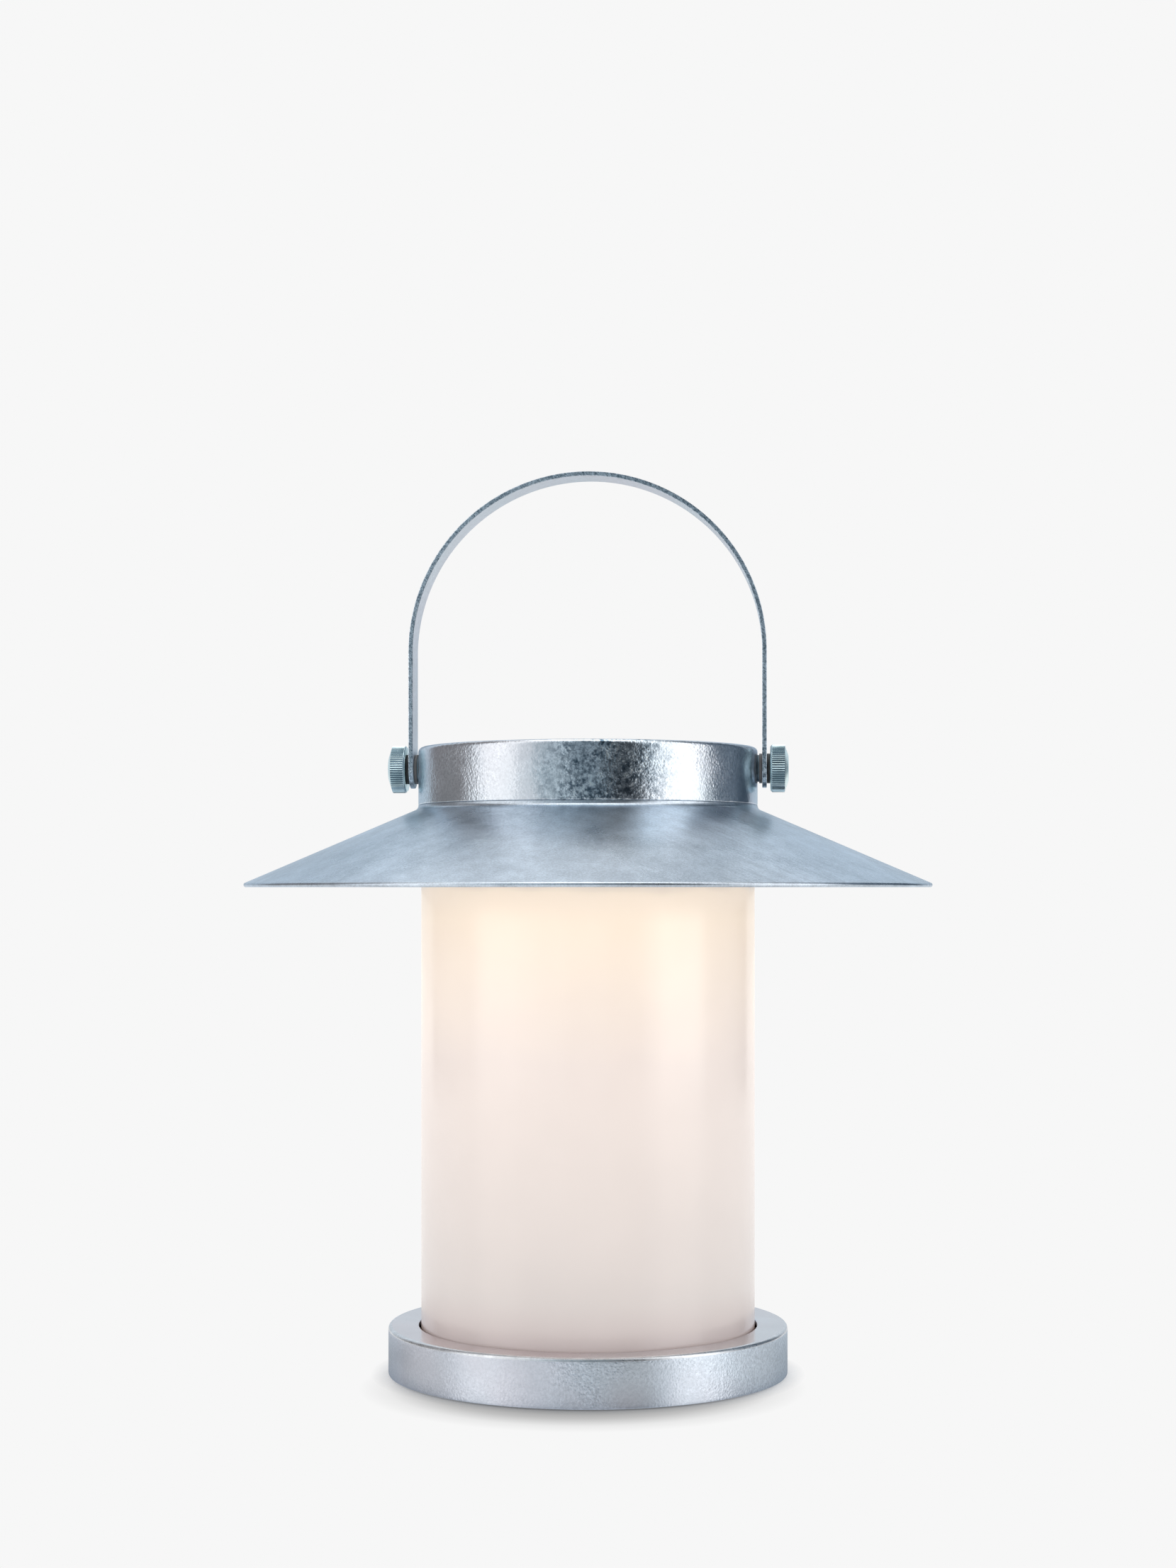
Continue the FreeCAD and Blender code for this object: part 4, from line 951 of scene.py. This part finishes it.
class MakeButton(bpy.types.Operator):
    """Push button with a dished top and a hollow for its switch"""

    bl_idname = "lantern.make_button"
    bl_label = "Button"

    WELL = 0.0017
    LID_SHEET = 0.0018
    FLANGE_WIDTH, FLANGE_THICK = 0.001, 0.0007
    RIM, DISH_WIDTH, DISH_DEPTH, DISH_STEP = 0.0012, 0.0008, 0.0005, 0.7

    def execute(self, context):
        flange = (button_high.x - button_low.x) / 2
        radius = flange - self.FLANGE_WIDTH
        top = button_high.z
        roof = button_low.z + FINE_EDGE
        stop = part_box("top_lid")[1].z - self.LID_SHEET
        mesh = spun([
            (0.0, roof),
            (self.WELL, roof),
            (self.WELL, stop - self.FLANGE_THICK),
            (flange, stop - self.FLANGE_THICK),
            (flange, stop),
            (radius, stop),
            (radius, top),
            (radius - self.RIM, top),
            (radius - self.RIM - self.DISH_WIDTH, top - self.DISH_DEPTH * self.DISH_STEP),
            (0.0, top - self.DISH_DEPTH),
        ], SMALL_STEPS, closed=False)
        round_ring(mesh, radius, top, SOFT_EDGE, 3)
        bmesh.ops.translate(mesh, vec=(0, (button_low.y + button_high.y) / 2, 0), verts=mesh.verts)
        rubber = moulded("button_rubber", colours().rubber, 0.5, 2400.0, 0.00001)
        add_piece("dished_button", mesh, [rubber], "button", "power_button")
        return {"FINISHED"}


class MakeUnderside(bpy.types.Operator):
    """Feet and screws under the base"""

    bl_idname = "lantern.make_underside"
    bl_label = "Feet and bottom screws"

    FOOT_RADIUS = 0.006
    HEAD_RADIUS, SHANK_RADIUS = 0.0025, 0.0015
    SOCKET_RADIUS, SOCKET_DEPTH = 0.00115, 0.0007
    LOBES, LOBE_RISE = 6, 0.00022
    SCREW_STEPS = 48

    def execute(self, context):
        tint = colours()
        rubber = moulded("foot_rubber", tint.rubber, 0.62)
        steel = plated_steel("plated_screw_steel", tint.plain_steel)
        mesh = self.four(self.foot(), feet_high.x - self.FOOT_RADIUS, 0.0)
        add_piece("rubber_feet_set", mesh, [rubber], "lantern", "rubber_feet")
        for node, start in (("base_screws", 45.0), ("seat_screws", 0.0)):
            low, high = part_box(node)
            mesh = self.four(self.screw(low.z, high.z), self.screw_circle(node), start)
            add_piece(f"{node}_lobed", mesh, [steel], "lantern", node)
        return {"FINISHED"}

    def screw_circle(self, node):
        """Radius of the circle that a ring of four screws lies on."""
        spots = [vert.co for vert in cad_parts[node].data.vertices]
        reach = [math.hypot(spot.x, spot.y) for spot in spots]
        return (min(reach) + max(reach)) / 2

    def four(self, mesh, circle, start):
        """Move one shape out to its circle and repeat it at every quarter turn."""
        place = Matrix.Rotation(math.radians(start), 4, "Z") @ Matrix.Translation((circle, 0, 0))
        bmesh.ops.transform(mesh, matrix=place, verts=mesh.verts)
        bmesh.ops.spin(mesh, geom=mesh.verts[:] + mesh.edges[:] + mesh.faces[:], cent=(0, 0, 0),
                       axis=(0, 0, 1), angle=math.tau * 3 / 4, steps=3, use_duplicate=True)
        return mesh

    def foot(self):
        """Rubber foot with a slightly hollow face."""
        radius, top = self.FOOT_RADIUS, feet_high.z
        mesh = spun([(0.0, FILLET), (radius * 2 / 3, 0.0), (radius, 0.0), (radius, top), (0.0, top)],
                    SMALL_STEPS, closed=False)
        round_ring(mesh, radius, 0.0, SOFT_EDGE, 3)
        return mesh

    def screw(self, head_low, tip):
        """Low pan head with a six-lobed socket, facing down."""
        seat = plate_low.z

        def lobes(height):
            turn = math.tau * self.LOBES / self.SCREW_STEPS
            return lambda number: (self.SOCKET_RADIUS + self.LOBE_RISE * math.cos(number * turn), height)

        return turned(self.SCREW_STEPS, self.SHANK_RADIUS, tip, [
            all_round(self.SHANK_RADIUS, seat),
            all_round(self.HEAD_RADIUS, seat),
            all_round(self.HEAD_RADIUS, seat - SOFT_EDGE),
            all_round(self.HEAD_RADIUS - FINE_EDGE, head_low + FILLET),
            all_round(self.HEAD_RADIUS - FINE_EDGE - SOFT_EDGE, head_low),
            all_round(self.SHANK_RADIUS, head_low),
            lobes(head_low),
            lobes(head_low + self.SOCKET_DEPTH),
        ])


class DressSolids(bpy.types.Operator):
    """Finishes for the solids that stay as they are"""

    bl_idname = "lantern.dress_solids"
    bl_label = "Other solids"

    def execute(self, context):
        tint = colours()
        finishes = {
            "plain_steel": plated_steel("plated_plate_steel", tint.plain_steel),
            # the nuts' zinc at three tenths of the knob zinc's tone
            "zinc_steel": plated_steel("dark_nut_zinc", shade(tint.knob_zinc, 0.3), 0.5),
            "white_plastic": moulded("white_moulding", (0.78, 0.78, 0.76), 0.45),
            "black_plastic": moulded("black_lid_moulding", tint.lid, 0.5, 1100.0, 0.00003),
            "black_rubber": moulded("seal_rubber", tint.rubber, 0.6),
            "clear_silicone": moulded("pale_silicone", (0.62, 0.62, 0.60), 0.5),
            "board_green": moulded("board_mask", (0.02, 0.14, 0.06), 0.35, 3000.0, 0.000008),
            "board_aluminium": plated_steel("board_metal", (0.75, 0.75, 0.74), 0.4),
            "led_yellow": moulded("led_phosphor", (0.85, 0.62, 0.16), 0.3),
            "frosted_plastic": moulded("frosted_lens", (0.82, 0.82, 0.80), 0.6),
            "cell_wrap": moulded("cell_film", (0.05, 0.20, 0.45), 0.25),
            "lead_black": moulded("lead_sleeve", (0.04, 0.04, 0.04), 0.5),
            "panel_board": moulded("panel_laminate", (0.035, 0.04, 0.055), 0.3,
                                   Coat_Weight=1.0, Coat_Roughness=0.08),
            "solar_silicon": solar_glass("solar_cells_glass", tint.silicon, tint.contact),
        }
        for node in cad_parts.values():
            for slot in node.material_slots:
                if slot.material and slot.material.name in finishes:
                    slot.material = finishes[slot.material.name]
        return {"FINISHED"}


class MakeStage(bpy.types.Operator):
    """Camera, soft light, reflector cards and floor"""

    bl_idname = "lantern.make_stage"
    bl_label = "Stage"

    # Angles are in degrees to the right of the camera's own side of the lantern
    SOFTBOXES = (("left_softbox", -57.0), ("right_softbox", 61.0))
    CARDS = (
        ("left_dark_card", -131.0, -83.0, (0.25, 0.24, 0.245)),
        ("left_bright_card", -77.0, -48.0, (1.31, 1.31, 1.31)),
        ("left_pale_card", -48.0, -34.0, (0.84, 0.87, 0.90)),
        ("left_grey_card", -34.0, -15.0, (0.51, 0.59, 0.64)),
        ("middle_card", -15.0, 12.0, (0.20, 0.255, 0.295)),
        ("front_dark_card", 12.0, 38.0, (0.025, 0.032, 0.04)),
        ("right_bright_card", 48.0, 81.5, (1.66, 1.66, 1.66)),
        ("right_dim_card", 86.5, 119.0, (0.125, 0.165, 0.21)),
        ("right_dark_card", 119.0, 138.0, (0.04, 0.065, 0.095)),
    )
    # The room that metal mirrors, by the sine of the angle above the horizon
    ROOM = (
        (0.0, (0.62, 0.68, 0.74)),
        (0.30, (0.68, 0.75, 0.81)),
        (0.60, (0.74, 0.80, 0.86)),
        (0.73, 1.0),
    )
    SENSOR = 36.0
    FLOOR_STEPS = 96
    CONTACT = 0.006  # width over which the floor's shading fades outside the base
    SHADOW_DEPTH = 0.025  # how far the shadow deepens inward from the base's edge
    MIRRORED_EDGE = 0.06  # width of the painted shadow round the base in what metal mirrors

    def execute(self, context):
        stage = context.scene.lantern_stage
        context.scene.view_settings.view_transform = "Standard"
        self.camera(stage)
        self.world(stage)
        self.floor(stage)
        for name, azimuth in self.SOFTBOXES:
            self.softbox(stage, name, azimuth)
        for name, start, end, tone in self.CARDS:
            self.card(stage, name, start, end, tone)
        self.ceiling(stage)
        return {"FINISHED"}

    def around(self, stage, azimuth, distance, lift):
        """A spot at an angle to the right of the camera's own side, and the turn that faces the lantern."""
        angle = stage.eye_azimuth + math.radians(azimuth)
        return Vector((math.sin(angle) * distance, -math.cos(angle) * distance, lift)), angle

    def camera(self, stage):
        data = bpy.data.cameras.new("photo_camera")
        data.sensor_width = self.SENSOR
        data.lens = stage.lens
        data.shift_y = stage.rise
        eye = bpy.data.objects.new("photo_camera", data)
        eye.location, angle = self.around(stage, 0.0, stage.eye_distance, stage.eye_height)
        eye.rotation_euler = (math.pi / 2, 0.0, angle)
        bpy.context.scene.collection.objects.link(eye)
        bpy.context.scene.camera = eye

    def world(self, stage):
        """Even light; the camera sees pale paper, and metal sees a room that darkens toward the horizon."""
        world = bpy.data.worlds.new("studio")
        world.use_nodes = True
        bpy.context.scene.world = world
        world.node_tree.nodes.clear()
        nodes = Nodes(world.node_tree)
        path = nodes.node("ShaderNodeLightPath")
        way = nodes.node("ShaderNodeTexCoord").outputs["Generated"]
        height = nodes.node("ShaderNodeSeparateXYZ", {0: way}).outputs["Z"]

        def light(tone, strength):
            inputs = {"Color": opaque(tone), "Strength": strength}
            return nodes.node("ShaderNodeBackground", inputs).outputs[0]

        seen = light(1.0, stage.sky)
        for rays, tone, strength in (
            ("Is Glossy Ray", nodes.ramp(height, self.ROOM), stage.wall),
            ("Is Transmission Ray", 1.0, stage.paper),
            ("Is Camera Ray", 1.0, stage.paper),
        ):
            seen = nodes.choose(path.outputs[rays], seen, light(tone, strength))
        nodes.node("ShaderNodeOutputWorld", {0: seen})

    def floor(self, stage):
        """Pale floor with a soft shadow toward the camera; it fades into the background."""
        finish = Finish("pale_floor")
        edge = sizes().base_radius
        radius = finish.distance((0.0, 0.0, 0.0))
        path = finish.node("ShaderNodeLightPath")
        dark = self.shadow(finish, stage, edge)
        finish.set(Base_Color=finish.tinted(0.8, dark), Roughness=0.9, Specular_IOR_Level=0.1,
                   Emission_Color=dark, Emission_Strength=0.3)
        outside = finish.span(radius, edge, edge + self.CONTACT)
        paper_seen = finish.times(outside, path.outputs["Is Camera Ray"])
        plain = finish.choose(paper_seen, finish.shader.outputs[0], finish.glow(dark, stage.paper))
        mirrored = self.mirrored_floor(finish, stage, radius, edge)
        finish.show(finish.choose(path.outputs["Is Glossy Ray"], plain, mirrored))
        mesh = bmesh.new()
        bmesh.ops.create_circle(mesh, cap_ends=True, segments=self.FLOOR_STEPS, radius=stage.floor_radius)
        floor = as_object("floor", mesh, [finish.material])

    def shadow(self, finish, stage, edge):
        """Painted shadow: tone of the floor under and round the base."""
        middle = self.around(stage, math.degrees(stage.shadow_turn), stage.shadow_shift, 0.0)[0]
        reach = finish.span(finish.distance(middle), edge - self.SHADOW_DEPTH, edge + self.CONTACT)
        return finish.ramp(reach, [(0.0, 0.36), (0.35, 0.56), (0.7, 0.88), (1.0, 1.0)])

    def mirrored_floor(self, finish, stage, radius, edge):
        """What metal sees of the floor: partly the room below, with painted shade behind the lantern and a
        painted shadow close to the base.
        """
        away = (-math.sin(stage.eye_azimuth), math.cos(stage.eye_azimuth), 0.0)
        behind = finish.maths("DIVIDE", finish.vectors("DOT_PRODUCT", away).outputs["Value"], edge)
        share_behind = finish.span(behind, -1.0, -0.3, stage.floor_mirror, 0.85)
        share_outside = finish.span(radius, 0.095, 0.14, 0.0, 0.07)
        # painted shade behind the lantern and round the base, in what metal mirrors
        shade_behind = finish.span(behind, -0.7, 0.4, 1.0, 0.5)
        shade_round_base = finish.span(radius, 0.07, 0.17, 0.4, 1.0)
        level = finish.maths("MAXIMUM", shade_behind, shade_round_base)
        # painted shadow close to the base, in what metal mirrors
        mirrored_contact_shadow = finish.ramp(finish.span(radius, edge, edge + self.MIRRORED_EDGE), [
            (0.0, (0.50, 0.52, 0.56)),
            (0.1, (0.70, 0.71, 0.73)),
            (0.2, (0.85, 0.85, 0.86)),
            (0.32, 0.97),
            (0.6, 1.0),
        ])
        sheet = finish.glow(finish.tinted(mirrored_contact_shadow, finish.grey(level)), stage.paper)
        clear = finish.node("ShaderNodeBsdfTransparent").outputs[0]
        return finish.choose(finish.plus(share_behind, share_outside), clear, sheet)

    def softbox(self, stage, name, azimuth):
        """Large lamp that shapes the matte surfaces; the cards stand for it in the metal."""
        data = bpy.data.lights.new(name, "AREA")
        data.shape = "RECTANGLE"
        data.size = stage.softbox_width
        data.size_y = stage.softbox_height
        data.energy = stage.softbox_level * math.pi * stage.softbox_width * stage.softbox_height
        lamp = bpy.data.objects.new(name, data)
        lamp.location, angle = self.around(stage, azimuth, stage.softbox_distance, stage.softbox_lift)
        lamp.rotation_euler = (math.pi / 2, 0.0, angle)
        lamp.visible_glossy = False
        bpy.context.scene.collection.objects.link(lamp)

    def card(self, stage, name, start, end, tone):
        """Tall card between two angles."""
        reach = stage.card_distance
        lift = (stage.card_high - stage.card_depth) / 2
        spot, angle = self.around(stage, (start + end) / 2, reach, lift)
        width = 2 * reach * math.tan(math.radians(end - start) / 2)
        upright = Matrix.Rotation(angle, 4, "Z") @ Matrix.Rotation(math.pi / 2, 4, "X")
        stretch = Matrix.Diagonal((width, stage.card_high + stage.card_depth, 1.0, 1.0))
        self.glowing_sheet(name, Matrix.Translation(spot) @ upright @ stretch, tone)

    def ceiling(self, stage):
        """Bright card over the lantern that lights the rims."""
        lift = Matrix.Translation((0.0, 0.0, stage.ceiling_height))
        stretch = Matrix.Diagonal((stage.ceiling_size, stage.ceiling_size, 1.0, 1.0))
        self.glowing_sheet("ceiling_card", lift @ stretch, (stage.ceiling_level,) * 3)

    def glowing_sheet(self, name, place, tone):
        """Flat card that only shows in metal and gloss."""
        finish = Finish(name)
        level = max(tone)
        finish.show(finish.glow(shade(tone, 1 / level), level))
        finish.material.cycles.emission_sampling = "NONE"
        mesh = bmesh.new()
        bmesh.ops.create_grid(mesh, x_segments=1, y_segments=1, size=0.5, matrix=place)
        panel = as_object(name, mesh, [finish.material])
        panel.visible_camera = False
        panel.visible_diffuse = False
        panel.visible_shadow = False
        panel.visible_transmission = False


GROUPS = {
    "lantern_sizes": LanternSizes,
    "lantern_colours": LanternColours,
    "lantern_stage": LanternStage,
}

OPERATORS = (
    MakeBase, MakeOpal, MakeBrim, MakeCollar, MakeHandle, MakeThumbScrews, MakeWashers,
    MakeButton, MakeUnderside, DressSolids, MakeStage,
)


class LanternPanel(bpy.types.Panel):
    """Sizes, colours and pieces of the lantern"""

    bl_idname = "VIEW3D_PT_lantern"
    bl_label = "Table lantern"
    bl_space_type = "VIEW_3D"
    bl_region_type = "UI"
    bl_category = "Lantern"

    def draw(self, context):
        for key, group in GROUPS.items():
            box = self.layout.box()
            for name in group.__annotations__:
                box.prop(getattr(context.scene, key), name)
        for operator in OPERATORS:
            self.layout.operator(operator.bl_idname)


CLASSES = (*GROUPS.values(), *OPERATORS, LanternPanel)


def register():
    for item in CLASSES:
        bpy.utils.register_class(item)
    for name, group in GROUPS.items():
        setattr(bpy.types.Scene, name, PointerProperty(type=group))


def unregister():
    for name in GROUPS:
        delattr(bpy.types.Scene, name)
    for item in reversed(CLASSES):
        bpy.utils.unregister_class(item)


def main():
    register()
    for operator in OPERATORS:
        group, name = operator.bl_idname.split(".")
        getattr(getattr(bpy.ops, group), name)()


if __name__ == "__main__":
    main()
